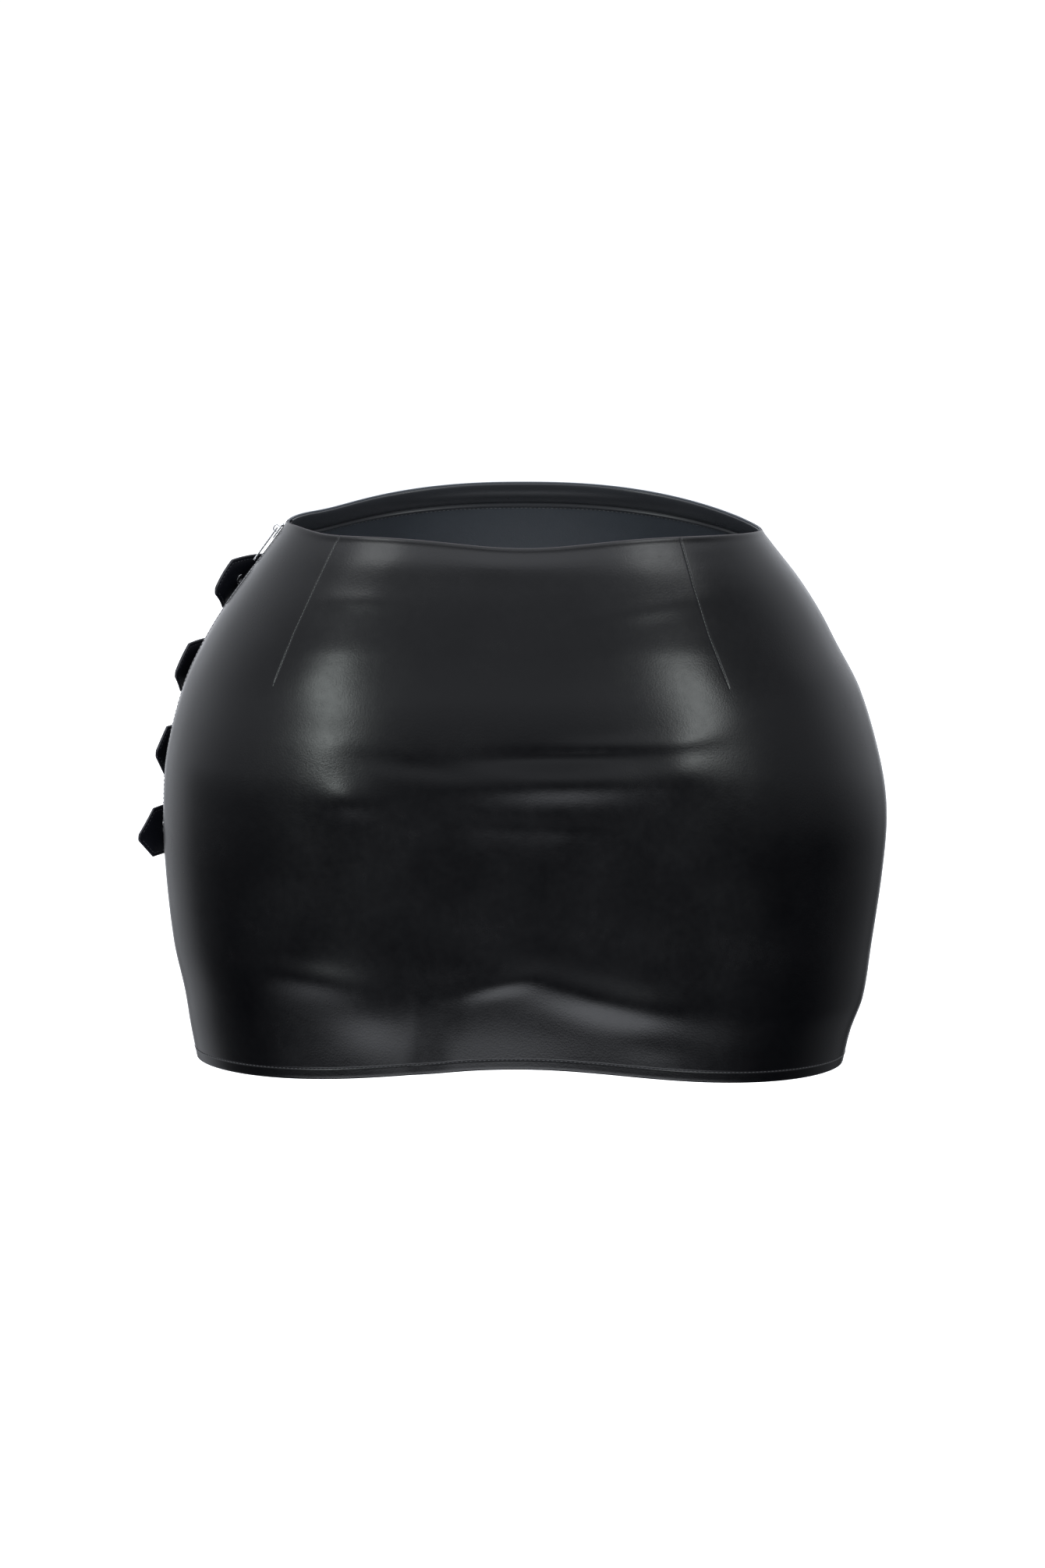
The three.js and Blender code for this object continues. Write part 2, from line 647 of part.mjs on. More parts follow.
function chape(strap) {
  const line = chapeLine();
  const rings = line.map((point, i) => {
    const along = directionAt(line, i);
    const corner = (below, over) => besideStrap(strap, point.x - along.y * over, below,
      point.y + along.x * over);
    const half = CHAPE_WALL / 2;
    return [
      corner(-CHAPE_HALF, -half), corner(0, -half), corner(CHAPE_HALF, -half),
      corner(CHAPE_HALF, half), corner(0, half), corner(-CHAPE_HALF, half),
    ];
  });
  const slot = bentBox(block(HEEL_BAR - 7, HEEL_BAR + 8, 0.1, FRAME_TOP + 3,
    -CHAPE_SLOT_HALF, CHAPE_SLOT_HALF), strap);
  return fromSolid(toSolid(throughRings(rings)).subtract(toSolid(slot)));
}

// The middle line of a buckle's bar, as runs and distances below the strap's middle.
function frameLine() {
  const middle = (HEEL_BAR + FAR_BAR) / 2;
  const halfRun = (FAR_BAR - HEEL_BAR) / 2;
  const corners = [[1, 1, 0], [-1, 1, 1], [-1, -1, 2], [1, -1, 3]];
  const line = [];
  for (const [towardsFar, below, quarter] of corners) {
    for (const step of [0, 1, 2]) {
      const angle = ((quarter + step / 2) * Math.PI) / 2;
      line.push(new THREE.Vector2(
        middle + towardsFar * (halfRun - FRAME_CORNER) + FRAME_CORNER * Math.cos(angle),
        below * (FRAME_HALF - FRAME_CORNER) + FRAME_CORNER * Math.sin(angle),
      ));
    }
  }
  return line.flatMap((point, i) => {
    const next = line[(i + 1) % line.length];
    const count = Math.ceil(point.distanceTo(next) / BEND_STEP);
    return Array.from({ length: count }, (_, k) => point.clone().lerp(next, k / count));
  });
}

function buckleFrame(strap) {
  const line = frameLine();
  const middle = (FRAME_BOTTOM + FRAME_TOP) / 2;
  const half = (FRAME_TOP - FRAME_BOTTOM) / 2;
  const section = [[1, 0], [0.6, 1], [-0.6, 1], [-1, 0], [-0.6, -1], [0.6, -1]];
  const rings = line.map((point, i) => {
    const before = line[(i + line.length - 1) % line.length];
    const along = line[(i + 1) % line.length].clone().sub(before).normalize();
    return section.map(([over, height]) => besideStrap(strap, point.x + along.y * over * BAR_HALF,
      point.y - along.x * over * BAR_HALF, middle + height * half));
  });
  return throughRings(rings, true);
}

// The prong: a hook round the heel bar, then a rod through the slot on to the far bar.
function prong(strap) {
  const wrap = BAR_HALF + SEAM_GAP + PRONG_RADIUS;
  const low = FRAME_BOTTOM - SEAM_GAP - PRONG_RADIUS;
  const high = FRAME_TOP + SEAM_GAP + PRONG_RADIUS;
  const path = [
    [HEEL_BAR + wrap, low + 1.5], [HEEL_BAR + 1.4, low + 0.3], [HEEL_BAR, low],
    [HEEL_BAR - 1.6, low + 0.4], [HEEL_BAR - wrap, low + 1.7], [HEEL_BAR - wrap, high - 1.5],
    [HEEL_BAR - 1.5, high - 0.3], [HEEL_BAR, high], [HEEL_BAR + 3.5, high - 0.6],
    [HEEL_BAR + 8, high - 1.5], [SLOT_MIDDLE, high - 1.5], [SLOT_MIDDLE + 5, high - 0.6],
    [FAR_BAR - 2, high + 0.1], [FAR_BAR + 2.2, high],
  ].map(([run, height]) => new THREE.Vector2(run, height));
  const rings = path.map((point, i) => {
    const along = directionAt(path, i);
    const ring = [];
    for (let k = 0; k < 8; k += 1) {
      const angle = (k / 8) * 2 * Math.PI;
      const over = PRONG_RADIUS * Math.cos(angle);
      ring.push(besideStrap(strap, point.x - along.y * over, PRONG_RADIUS * Math.sin(angle),
        point.y + along.x * over));
    }
    return ring;
  });
  return throughRings(rings);
}

STRAPS.forEach((strap, i) => {
  const number = i + 1;
  const frame = eyeletFrame(strap);
  const hole = new THREE.CylinderGeometry(EYELET_BARREL + SEAM_GAP, EYELET_BARREL + SEAM_GAP, 6, 12);
  const solid = strapSolid(strap)
    .subtract(slotThroughStrap(strap))
    .subtract(toSolid(hole.applyMatrix4(frame)));
  addPiece(`strap_${number}`, fromSolid(solid), LEATHER);
  addPiece(`chape_${number}`, chape(strap), LEATHER);
  addPiece(`buckle_frame_${number}`, buckleFrame(strap), METAL);
  addPiece(`buckle_prong_${number}`, prong(strap), METAL);
  addPiece(`eyelet_${number}`, eyelet(), METAL).applyMatrix4(frame);
});

export default skirt;
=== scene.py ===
import math

import bpy
import numpy as np
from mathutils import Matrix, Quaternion, Vector


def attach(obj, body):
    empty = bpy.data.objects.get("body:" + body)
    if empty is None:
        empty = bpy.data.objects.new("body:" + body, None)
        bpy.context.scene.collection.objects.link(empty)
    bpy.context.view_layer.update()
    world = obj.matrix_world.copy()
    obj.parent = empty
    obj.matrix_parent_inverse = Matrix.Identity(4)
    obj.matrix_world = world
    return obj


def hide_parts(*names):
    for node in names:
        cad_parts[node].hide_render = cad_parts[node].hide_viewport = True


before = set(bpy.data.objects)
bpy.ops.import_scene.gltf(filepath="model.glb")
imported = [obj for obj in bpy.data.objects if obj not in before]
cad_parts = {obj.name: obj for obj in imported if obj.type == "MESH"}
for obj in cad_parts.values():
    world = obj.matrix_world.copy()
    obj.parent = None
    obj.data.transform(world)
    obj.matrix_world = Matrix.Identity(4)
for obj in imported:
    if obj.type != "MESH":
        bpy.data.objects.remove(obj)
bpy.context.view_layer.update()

# Garment sizes are in millimetres, as in the part's source, and become metres when a mesh is made.
MM = 0.001

# The body of the skirt: half widths and depths at each drop below the waist.
LENGTH = 341
SECTIONS = {
    "drop": (0, 11, 32, 53, 73, 102, 146, 178, 213, 266, 298, 320, 341),
    "left": (151, 159, 175, 190.5, 203, 217, 228.5, 231, 230.5, 225, 218, 214.5, 210.5),
    "right": (151, 159.5, 176, 189.5, 200, 215, 228, 232.5, 230.5, 223, 218, 210, 205),
    "front": (98, 104, 113, 120, 126, 131, 133, 132, 130, 128, 126, 125, 124),
    "back": (104, 112, 126, 139, 149, 160, 168, 169, 166, 154, 146, 141, 138),
}
FRONT_SQUARENESS = 2.3
BACK_SQUARENESS = 2.12
WAIST_AT_SIDE = 2
WAIST_LIFT_AT_ZIP = 5
ZIP_LIFT_SPREAD = 0.12
BACK_WAIST_RISE = 22.5
BACK_WAIST_SQUARENESS = 2.4
FRONT_WAIST_RISE = 2.5
FRONT_WAIST_DIP = 7.5
FRONT_DIP_SPREAD = 0.4
HEM_AT_SIDE = -339.5
FRONT_HEM_LIFT = 12.5
FRONT_LIFT_SPREAD = 0.5
HEM_DROOP = 2.5
BACK_HEM_LIFT = 4
HEM_TILT = 1.8

# Folds. A row holds the face (-1 front, 1 back), the middle's x and z, half length, half width, height
# out of the panel and turn in degrees.
LARGE_FOLDS = (
    (-1, 16, -131.5, 56, 6, -1.0, 1.5),
    (-1, 28, -147, 60, 11, 1.9, 1),
    (-1, 34, -278, 64, 12.5, 1.7, -12),
    (-1, -130, -274, 38, 10, 1.5, -4),
    (1, -20, -252, 96, 12, -2.2, 3),
    (1, 46, -226, 70, 12, 1.6, -4),
)

# Leather and seams.
WALL = 1.4
HEM_WALL = 2.7
HEM_DEPTH = 25
HEM_STITCH_UP = 7
SEAM_GAP = 0.3
FACING_DEPTH = 16
FACING_WALL = 1
CLEAR = 0.5
HIP_DROP = 170

# The zip in the side seam.
ZIP_HALF_OPENING = 3.2
ZIP_END = 194
ZIP_CLOSING_FROM = 201
ZIP_CLOSING_TO = 209
CHAIN_START = 4.6
CHAIN_TOP = 0.2
TAPE_INNER = 1.6
TAPE_OUTER = 13
TAPE_TOP = -2.5
TAPE_BOTTOM = -3.1
TAPE_START = 0.6
TAPE_TAIL = 8
SLIDER_LENGTH = 11.5
SLIDER_HALF = 4
SLIDER_PLATE = 1.1
SLIDER_GAP = 0.3
SLIDER_DROP = 7
TAB_LENGTH = 25.5
TAB_HALF = 2.9
TAB_THICK = 1.1
BAIL_INNER = 1.5
BAIL_BAR = 1
BAIL_HALF = 0.8
BAIL_ROOM = 2.4
TAB_AXIS_HEIGHT = 1
TAB_AXIS_UP = 0.6

# The straps and buckles, along the run round the body from the zip's seam towards the back.
STRAP_HALF = 16
STRAP_THICK = 2
STRAP_SEWN_END = 142
STRAP_POINT = 14
STRAP_TIP_HALF = 2
HEEL_BAR = 70
FAR_BAR = 94
BAR_HALF = 1.3
FRAME_HALF = 18.6
FRAME_CORNER = 5
FRAME_BOTTOM = 2.9
FRAME_TOP = 5.1
STRAP_OVER_HEEL = 8.4
STRAP_RISE_FROM = 90
STRAP_RISE_TO = 74
STRAP_FREE_FROM = 66
SLOT_MIDDLE = 82
SLOT_HALF_LENGTH = 4.4
SLOT_HALF_WIDTH = 1.9
CHAPE_HALF = 15
CHAPE_END = 30
CHAPE_WALL = 1
LOOP_GAP = 0.6
CHAPE_SLOT_HALF = 2.6
PRONG_RADIUS = 0.85
EYELET_FROM_TIP = 26
EYELET_HOLE = 1.7
EYELET_BARREL = 2.2
EYELET_FLANGE = 3.4
EYELET_PLATE = 0.6

# One strap a row: its drop, where its point ends and the lean of its end.
STRAPS = (
    dict(drop=46, tip=(-198.5, 27.5, -41), lean=0.5),
    dict(drop=99.5, tip=(-224.5, 32, -95), lean=3),
    dict(drop=153, tip=(-237.5, 35.5, -147), lean=1.5),
    dict(drop=202, tip=(-249, 31, -201), lean=2),
)


def length_of(vectors):
    return np.linalg.norm(vectors, axis=-1)


def unit(vectors):
    return vectors / np.maximum(length_of(vectors), 1e-9)[..., None]


def smooth_step(value, low, high):
    t = np.clip((np.asarray(value, float) - low) / (high - low), 0, 1)
    return t * t * (3 - 2 * t)


# The surface


def section_size(column, drop):
    """A smooth curve through one column of the sections."""
    drops = np.array(SECTIONS["drop"], float)
    sizes = np.array(SECTIONS[column], float)
    last = len(drops) - 1
    before = np.maximum(np.arange(last + 1) - 1, 0)
    after = np.minimum(np.arange(last + 1) + 1, last)
    slopes = (sizes[after] - sizes[before]) / (drops[after] - drops[before])
    row = np.clip(np.searchsorted(drops[1:], drop, side="left"), 0, last - 1)
    span = drops[row + 1] - drops[row]
    t = (drop - drops[row]) / span
    ease = t * t * (3 - 2 * t)
    start_pull = t * (1 - t) ** 2 * span * slopes[row]
    end_pull = t * t * (t - 1) * span * slopes[row + 1]
    return sizes[row] + (sizes[row + 1] - sizes[row]) * ease + start_pull + end_pull


def waist_height(across, front):
    at_side = WAIST_AT_SIDE + WAIST_LIFT_AT_ZIP * np.exp(-(((1 + across) / ZIP_LIFT_SPREAD) ** 2))
    dip = FRONT_WAIST_DIP * np.exp(-((across / FRONT_DIP_SPREAD) ** 2))
    at_front = at_side + FRONT_WAIST_RISE * (1 - across ** 2) - dip
    at_back = at_side + BACK_WAIST_RISE * (1 - np.abs(across) ** BACK_WAIST_SQUARENESS)
    return np.where(front, at_front, at_back)


def hem_height(across, front):
    level = HEM_AT_SIDE - HEM_TILT * across
    lift = FRONT_HEM_LIFT * np.exp(-((across / FRONT_LIFT_SPREAD) ** 2))
    at_front = level - HEM_DROOP * (1 - across ** 8) + lift
    return np.where(front, at_front, level + BACK_HEM_LIFT * (1 - across ** 2))


def folds_out(folds, x, z, front):
    """How far the folds of a table stand out of the panel at x and z."""
    out = np.zeros(np.shape(x))
    for face, middle_x, middle_z, long, wide, high, degrees in folds:
        turn = math.radians(degrees)
        along = (x - middle_x) * math.cos(turn) + (z - middle_z) * math.sin(turn)
        over = (z - middle_z) * math.cos(turn) - (x - middle_x) * math.sin(turn)
        shape = high * np.exp(-((along / long) ** 2) - (over / wide) ** 2)
        out = out + np.where(front == (face < 0), shape, 0)
    return out


def outside(turn, drop):
    """Points on the outside: turn 0 at the zip's seam, a quarter turn at the front's middle."""
    turn, drop = np.broadcast_arrays(np.asarray(turn, float), np.asarray(drop, float))
    front = np.sin(turn) >= 0
    power = 2 / np.where(front, FRONT_SQUARENESS, BACK_SQUARENESS)
    across = -np.sign(np.cos(turn)) * np.abs(np.cos(turn)) ** power
    deep = np.abs(np.sin(turn)) ** power
    part = drop / LENGTH
    z = waist_height(across, front) * (1 - part) + hem_height(across, front) * part
    width = np.where(across < 0, section_size("left", drop), section_size("right", drop))
    x = across * width
    depth = np.where(front, section_size("front", drop), section_size("back", drop))
    depth = depth + folds_out(LARGE_FOLDS, x, z, front)
    return np.stack([x, np.where(front, -deep, deep) * depth, z], -1)


def normal_at(turn, drop):
    step = 0.004
    turn = np.asarray(turn, float)
    round_body = outside(turn + step, drop) - outside(turn - step, drop)
    down = outside(turn, drop + 1.0) - outside(turn, drop - 1.0)
    return unit(np.cross(down, round_body))


def skin(turn, drop, out):
    """The outside moved out along its normal."""
    return outside(turn, drop) + normal_at(turn, drop) * np.asarray(out, float)[..., None]


RUN_STEP = 0.005


def turn_at_run(run, drop, start=0.0):
    """The turn at a run round the body from the zip's seam: towards the back is positive."""
    run, drop = np.broadcast_arrays(np.asarray(run, float), np.asarray(drop, float))
    turn = np.full(run.shape, float(start))
    left = np.abs(run)
    way = -np.sign(run) * RUN_STEP
    here = outside(turn, drop)
    while (left > 0).any():
        there = outside(turn + way, drop)
        gone = length_of(there - here)
        moving = left > 0
        turn = turn + np.where(moving, way * np.minimum(1, left / np.maximum(gone, 1e-9)), 0)
        left = left - np.where(moving, gone, 0)
        here = np.where(moving[..., None], there, here)
    return turn


def zip_parting(drop):
    """Half the parting at the zip's seam."""
    closing = smooth_step(drop, ZIP_CLOSING_FROM, ZIP_CLOSING_TO)
    return ZIP_HALF_OPENING * (1 - closing) + SEAM_GAP / 2 * closing


def even_turns(fractions, end):
    """Fractions of a half turn that lie evenly round the body at hip height."""
    samples = np.linspace(0, end, 801)
    points = outside(samples, HIP_DROP)
    lengths = np.concatenate([[0], np.cumsum(length_of(np.diff(points, axis=0)))])
    return np.interp(np.asarray(fractions) * lengths[-1], lengths, samples) / end


def beside_strap(strap, run, below, height):
    """A place on the panel round one strap: run, distance below its middle, height."""
    run, below, height = np.broadcast_arrays(*(np.asarray(v, float) for v in (run, below, height)))
    drop = strap["drop"] + below * strap["drop_per_mm"]
    return skin(turn_at_run(run, drop), drop, height)


for strap in STRAPS:
    turn = turn_at_run(HEEL_BAR, strap["drop"])
    two_drops = outside(turn, strap["drop"] + 1.0) - outside(turn, strap["drop"] - 1.0)
    strap["drop_per_mm"] = 2 / float(length_of(two_drops))


# Meshes


def new_object(name, mesh):
    obj = bpy.data.objects.new(name, mesh)
    bpy.context.scene.collection.objects.link(obj)
    return obj


def finish_mesh(obj, angle=40):
    """Merges doubles, turns the faces outward and shades the object smooth up to an angle."""
    bpy.ops.object.select_all(action="DESELECT")
    obj.select_set(True)
    bpy.context.view_layer.objects.active = obj
    bpy.ops.object.mode_set(mode="EDIT")
    bpy.ops.mesh.select_all(action="SELECT")
    bpy.ops.mesh.remove_doubles(threshold=1e-6)
    bpy.ops.mesh.normals_make_consistent(inside=False)
    bpy.ops.object.mode_set(mode="OBJECT")
    bpy.ops.object.shade_smooth_by_angle(angle=math.radians(angle))
    return obj


def mesh_from(name, points, quads, triangles=()):
    """A mesh from points in millimetres and arrays of faces."""
    points = np.asarray(points, float).reshape(-1, 3) * MM
    quads = np.asarray(quads, int).reshape(-1, 4)
    triangles = np.asarray(triangles, int).reshape(-1, 3)
    mesh = bpy.data.meshes.new(name)
    mesh.vertices.add(len(points))
    mesh.vertices.foreach_set("co", points.ravel())
    corners = np.concatenate([quads.ravel(), triangles.ravel()])
    mesh.loops.add(len(corners))
    mesh.loops.foreach_set("vertex_index", corners)
    starts = np.concatenate([np.arange(len(quads)) * 4, len(quads) * 4 + np.arange(len(triangles)) * 3])
    mesh.polygons.add(len(starts))
    mesh.polygons.foreach_set("loop_start", starts)
    mesh.update(calc_edges=True)
    mesh.validate()
    return new_object(name, mesh)


def grid_quads(rows, columns, first=0):
    """Quads between the points of a grid, whose rows follow each other."""
    corner = (np.arange(rows - 1)[:, None] * columns + np.arange(columns - 1)[None, :]).ravel() + first
    return np.stack([corner, corner + columns, corner + columns + 1, corner + 1], -1)


def wall_mesh(name, outer, inner):
    """A closed wall between two grids of points."""
    rows, columns = outer.shape[:2]
    second = rows * columns
    points = np.concatenate([outer.reshape(-1, 3), inner.reshape(-1, 3)])
    across = np.arange(columns - 1)
    downward = np.arange(rows - 1) * columns
    strips = []
    for row in (0, rows - 1):
        a = row * columns + across
        strips.append(np.stack([a, a + 1, a + 1 + second, a + second], -1))
    for column in (0, columns - 1):
        a = downward + column
        strips.append(np.stack([a, a + columns, a + columns + second, a + second], -1))
    quads = [grid_quads(rows, columns), grid_quads(rows, columns, second), *strips]
    return finish_mesh(mesh_from(name, points, np.concatenate(quads)))


def ring_mesh(name, rings, loop=False):
    """A closed body through rings of points: an array of rings, points and coordinates."""
    count, size = rings.shape[:2]
    spans = count if loop else count - 1
    here = (np.arange(spans) * size)[:, None]
    there = ((np.arange(spans) + 1) % count * size)[:, None]
    this = np.arange(size)[None, :]
    following = (this + 1) % size
    quads = np.stack([here + this, here + following, there + following, there + this], -1).reshape(-1, 4)
    triangles = []
    if not loop:
        end = (count - 1) * size
        for j in range(1, size - 1):
            triangles.append((0, j, j + 1))
            triangles.append((end, end + j, end + j + 1))
    return finish_mesh(mesh_from(name, rings.reshape(-1, 3), quads, triangles))


# Materials


class Value:
    """A shader socket that adds, takes away, multiplies and so on into maths nodes."""

    def __init__(self, tree, socket):
        self.tree = tree
        self.socket = socket

    def maths(self, operation, *others, swapped=False):
        node = self.tree.nodes.new("ShaderNodeMath")
        node.operation = operation
        inputs = [self, *others]
        if swapped:
            inputs.reverse()
        for place, given in enumerate(inputs):
            if isinstance(given, Value):
                self.tree.links.new(given.socket, node.inputs[place])
            else:
                node.inputs[place].default_value = given
        return Value(self.tree, node.outputs[0])

    def __add__(self, other):
        return self.maths("ADD", other)

    def __radd__(self, other):
        return self.maths("ADD", other, swapped=True)

    def __sub__(self, other):
        return self.maths("SUBTRACT", other)

    def __rsub__(self, other):
        return self.maths("SUBTRACT", other, swapped=True)

    def __mul__(self, other):
        return self.maths("MULTIPLY", other)

    def __rmul__(self, other):
        return self.maths("MULTIPLY", other, swapped=True)

    def bell(self, width):
        """1 where this value is 0, and falling to nothing a few widths away on both sides."""
        share = self * (1 / width)
        return (share * share * -1).maths("EXPONENT")


class Finish:
    """A material with one Principled shader, and a short way to add nodes to it."""

    def __init__(self, name, **constants):
        self.material = bpy.data.materials.new(name)
        self.material.use_nodes = True
        self.tree = self.material.node_tree
        self.shader = self.tree.nodes["Principled BSDF"]
        for socket, value in constants.items():
            self.shader.inputs[socket.replace("_", " ")].default_value = value

    def node(self, kind, settings=None, output=0, **inputs):
        node = self.tree.nodes.new(kind)
        for setting, value in (settings or {}).items():
            setattr(node, setting, value)
        for name, value in inputs.items():
            socket = node.inputs[int(name[1:])] if name[1:].isdigit() else node.inputs[name.replace("_", " ")]
            if isinstance(value, Value):
                self.tree.links.new(value.socket, socket)
            else:
                socket.default_value = value
        return Value(self.tree, node.outputs[output])

    def place(self):
        return self.node("ShaderNodeTexCoord", output=3)

    def feed(self, socket, value):
        self.tree.links.new(value.socket, self.shader.inputs[socket])

    def between(self, factor, first, second):
        """A colour between two colours."""
        return self.node("ShaderNodeMix", {"data_type": "RGBA"}, output=2, s0=factor, s6=first, s7=second)

    def remap(self, value, low, high, to_low, to_high):
        return self.node("ShaderNodeMapRange", s0=value, s1=low, s2=high, s3=to_low, s4=to_high)

    def bump(self, height, depth, **over):
        """A normal from a height from 0 to 1 that stands for depth in metres."""
        inputs = {"Normal": over["normal"]} if over else {}
        return self.node("ShaderNodeBump", Distance=depth, Height=height, **inputs)

    def distance(self, name):
        """A distance in millimetres that the mesh carries as an attribute."""
        return self.node("ShaderNodeAttribute", {"attribute_name": name}, output=2)


GRAIN_SIZE = 0.0012
GRAIN_DEPTH = 0.00004
SEAM_DEPTH = 0.0003
DART_CREASE = 0.55
HEM_CREASE = 0.5
EDGE_BROWN = 0.5
DART_DROPS = (0, 30, 60, 93)


def leather(name, base, roughness, grain=1.0, sewn=False):
    """Smooth black leather: pebbled grain, pores and faint wear in its sheen.

    Sewn leather has creases along its darts and its hem's stitches, and a brown raw edge at the waist."""
    finish = Finish(name, Specular_IOR_Level=0.5)
    place = finish.place()
    warp = finish.node("ShaderNodeTexNoise", Vector=place, Scale=0.25 / GRAIN_SIZE, Detail=2.0)
    cells = finish.node("ShaderNodeTexVoronoi", {"feature": "SMOOTH_F1"}, Vector=place,
                        Scale=1 / GRAIN_SIZE, Smoothness=0.6)
    fine = finish.node("ShaderNodeTexNoise", Vector=place, Scale=2.6 / GRAIN_SIZE, Detail=3.0)
    broad = finish.node("ShaderNodeTexNoise", Vector=place, Scale=22.0, Detail=3.0)
    height = (1 - cells) * 0.55 + warp * 0.3 + fine * 0.25
    normal = finish.bump(height, GRAIN_DEPTH * grain)
    sheen = finish.remap(broad * 0.7 + warp * 0.3, 0.3, 0.7, roughness - 0.04, roughness + 0.05)
    light = tuple(min(1.0, c * 1.35) for c in base)
    colour = finish.between(broad, (*base, 1), (*light, 1))
    if sewn:
        drop = finish.distance("drop")
        darts = finish.distance("left_dart").bell(DART_CREASE) + finish.distance("right_dart").bell(DART_CREASE)
        darts = darts * finish.remap(drop, DART_DROPS[-1] - 8, DART_DROPS[-1], 1.0, 0.0)
        crease = darts + (drop - (LENGTH - HEM_STITCH_UP)).bell(HEM_CREASE)
        normal = finish.bump(1 - crease, SEAM_DEPTH, normal=normal)
        raw_edge = drop.bell(EDGE_BROWN)
        sheen = sheen + crease * 0.12 + raw_edge * 0.35
        colour = finish.between(raw_edge, colour, (0.03, 0.018, 0.023, 1))
    finish.feed("Normal", normal)
    finish.feed("Roughness", sheen)
    finish.feed("Base Color", colour)
    return finish.material


def metal(name, colour, roughness):
    """Nickel-plated metal with faint brushing and handling marks."""
    finish = Finish(name, Metallic=1.0)
    place = finish.place()
    marks = finish.node("ShaderNodeTexNoise", Vector=place, Scale=900.0, Detail=4.0)
    smears = finish.node("ShaderNodeTexNoise", Vector=place, Scale=140.0, Detail=2.0)
    finish.feed("Roughness", finish.remap(marks * 0.5 + smears * 0.5, 0.3, 0.7, roughness, roughness + 0.12))
    darker = tuple(c * 0.86 for c in colour)
    finish.feed("Base Color", finish.between(smears, (*colour, 1), (*darker, 1)))
    finish.feed("Normal", finish.bump(marks, 0.00002))
    return finish.material


def thread(name, colour):
    """Twisted sewing thread."""
    finish = Finish(name, Roughness=0.55)
    place = finish.place()
    twist = finish.node("ShaderNodeTexNoise", Vector=place, Scale=3500.0, Detail=2.0)
    darker = tuple(c * 0.6 for c in colour)
    finish.feed("Base Color", finish.between(twist, (*darker, 1), (*colour, 1)))
    finish.feed("Normal", finish.bump(twist, 0.00008))
    return finish.material


def woven_tape(name, colour):
    """A tightly woven tape: fine ribs across it."""
    finish = Finish(name, Roughness=0.85)
    place = finish.place()
    ribs = finish.node("ShaderNodeTexWave", {"bands_direction": "Z"}, Vector=place, Scale=420.0,
                       Distortion=1.2, Detail=1.0, output=1)
    fuzz = finish.node("ShaderNodeTexNoise", Vector=place, Scale=2600.0, Detail=3.0)
    lighter = tuple(c * 2.2 for c in colour)
    finish.feed("Base Color", finish.between(fuzz, (*colour, 1), (*lighter, 1)))
    finish.feed("Normal", finish.bump(ribs * 0.7 + fuzz * 0.3, 0.00012))
    return finish.material


PANEL_LEATHER = leather("panel_leather", (0.0013, 0.0014, 0.002), 0.24, sewn=True)
# The facing is the panels' black leather. Its colour is made lighter as a painted reflection of the light that
# its rolled band catches from above.
FACING_LEATHER_WITH_PAINTED_REFLECTION = leather("facing_leather_with_painted_reflection", (0.036, 0.038, 0.043), 0.3, grain=0.6)
# The inside is the leather's lighter rough side, made lighter still as painted light that stands in for light
# bounced up from below into the skirt.
INNER_LEATHER_WITH_PAINTED_BOUNCE = leather("inner_leather_with_painted_bounce", (0.062, 0.072, 0.086), 0.4, grain=1.8)
STRAP_LEATHER = leather("strap_leather", (0.0105, 0.0113, 0.016), 0.32)
METAL = metal("nickel", (0.74, 0.74, 0.755), 0.14)
SEAM_THREAD = thread("seam_thread", (0.1, 0.1, 0.108))
STRAP_THREAD = thread("strap_thread", (0.13, 0.135, 0.155))
DART_THREAD = thread("dart_thread", (0.24, 0.25, 0.24))
FACING_THREAD = thread("facing_thread", (0.36, 0.37, 0.38))
TAPE = woven_tape("zip_tape", (0.008, 0.008, 0.009))


def dress(obj, material, body="skirt"):
    """Gives a piece its material and the body that it moves with."""
    obj.data.materials.clear()
    obj.data.materials.append(material)
    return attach(obj, body)


# Front and back panels

# Small folds that lie on the large ones, by the same columns.
SMALL_FOLDS = (
    (-1, -30, -15, 105, 8, 0.5, -1),
    (-1, -104, -36, 27, 5, 0.35, 0),
    (-1, 66, -43, 44, 6, 0.4, 9),
    (-1, -124, -115, 26, 8, -0.2, 4),
    (-1, 56, -124.5, 44, 5, 0.65, 3),
    (-1, 5, -175, 52, 7, 0.45, -2),
    (-1, -62, -138, 40, 6, -0.4, -8),
    (-1, 104, -120, 30, 8, 0.4, 14),
    (-1, 98, -138, 21, 14, 0.9, -8),
    (-1, -110, -159, 18, 11, 1.2, -4),
    (-1, -100, -292, 30, 19, 1.9, -12),
    (-1, -70, -308, 28, 3.6, -0.9, 88),
    (-1, -43, -309, 26, 6, 0.5, 92),
    (-1, -57, -334, 13, 24, 1.5, 0),
    (-1, -20, -276, 24, 6, 0.8, 14),
    (-1, 64, -291, 36, 12, 1.2, -13),
    (-1, 82, -316, 24, 11, 0.55, -8),
    (-1, 192, -302, 20, 7, 0.35, 6),
    (1, 12, -124, 82, 10, -1.1, -2),
    (1, 60, -141, 52, 7, 0.7, 4),
    (1, -30, -150, 60, 8, 0.8, -3),
    (1, 120, -118, 40, 8, 0.6, -10),
    (1, -74, -292, 46, 9, 0.9, 9),
    (1, 92, -283, 50, 10, 1.0, -12),
    (1, 20, -318, 80, 8, 0.6, 2),
)

# The front's lower edge tucks in between the thighs.
TUCK = 5
TUCK_MIDDLE = -18
TUCK_SPREAD = 98
TUCK_FROM = -284
TUCK_TO = -350

TURNED_EDGE = 0.7
WAIST_ROLL = 0.4
WAIST_ROLL_DROP = 1.4
SEAM_ROLL = 0.75
SEAM_ROLL_WIDTH = 1.5
ROW_STEP = 2.6
FINE_ROW_STEP = 1.1
COLUMN_COUNT = 176
SEAM_FRACTIONS = (0, 0.0005, 0.0011, 0.0019, 0.003, 0.0045)
FAR_AWAY = 50.0


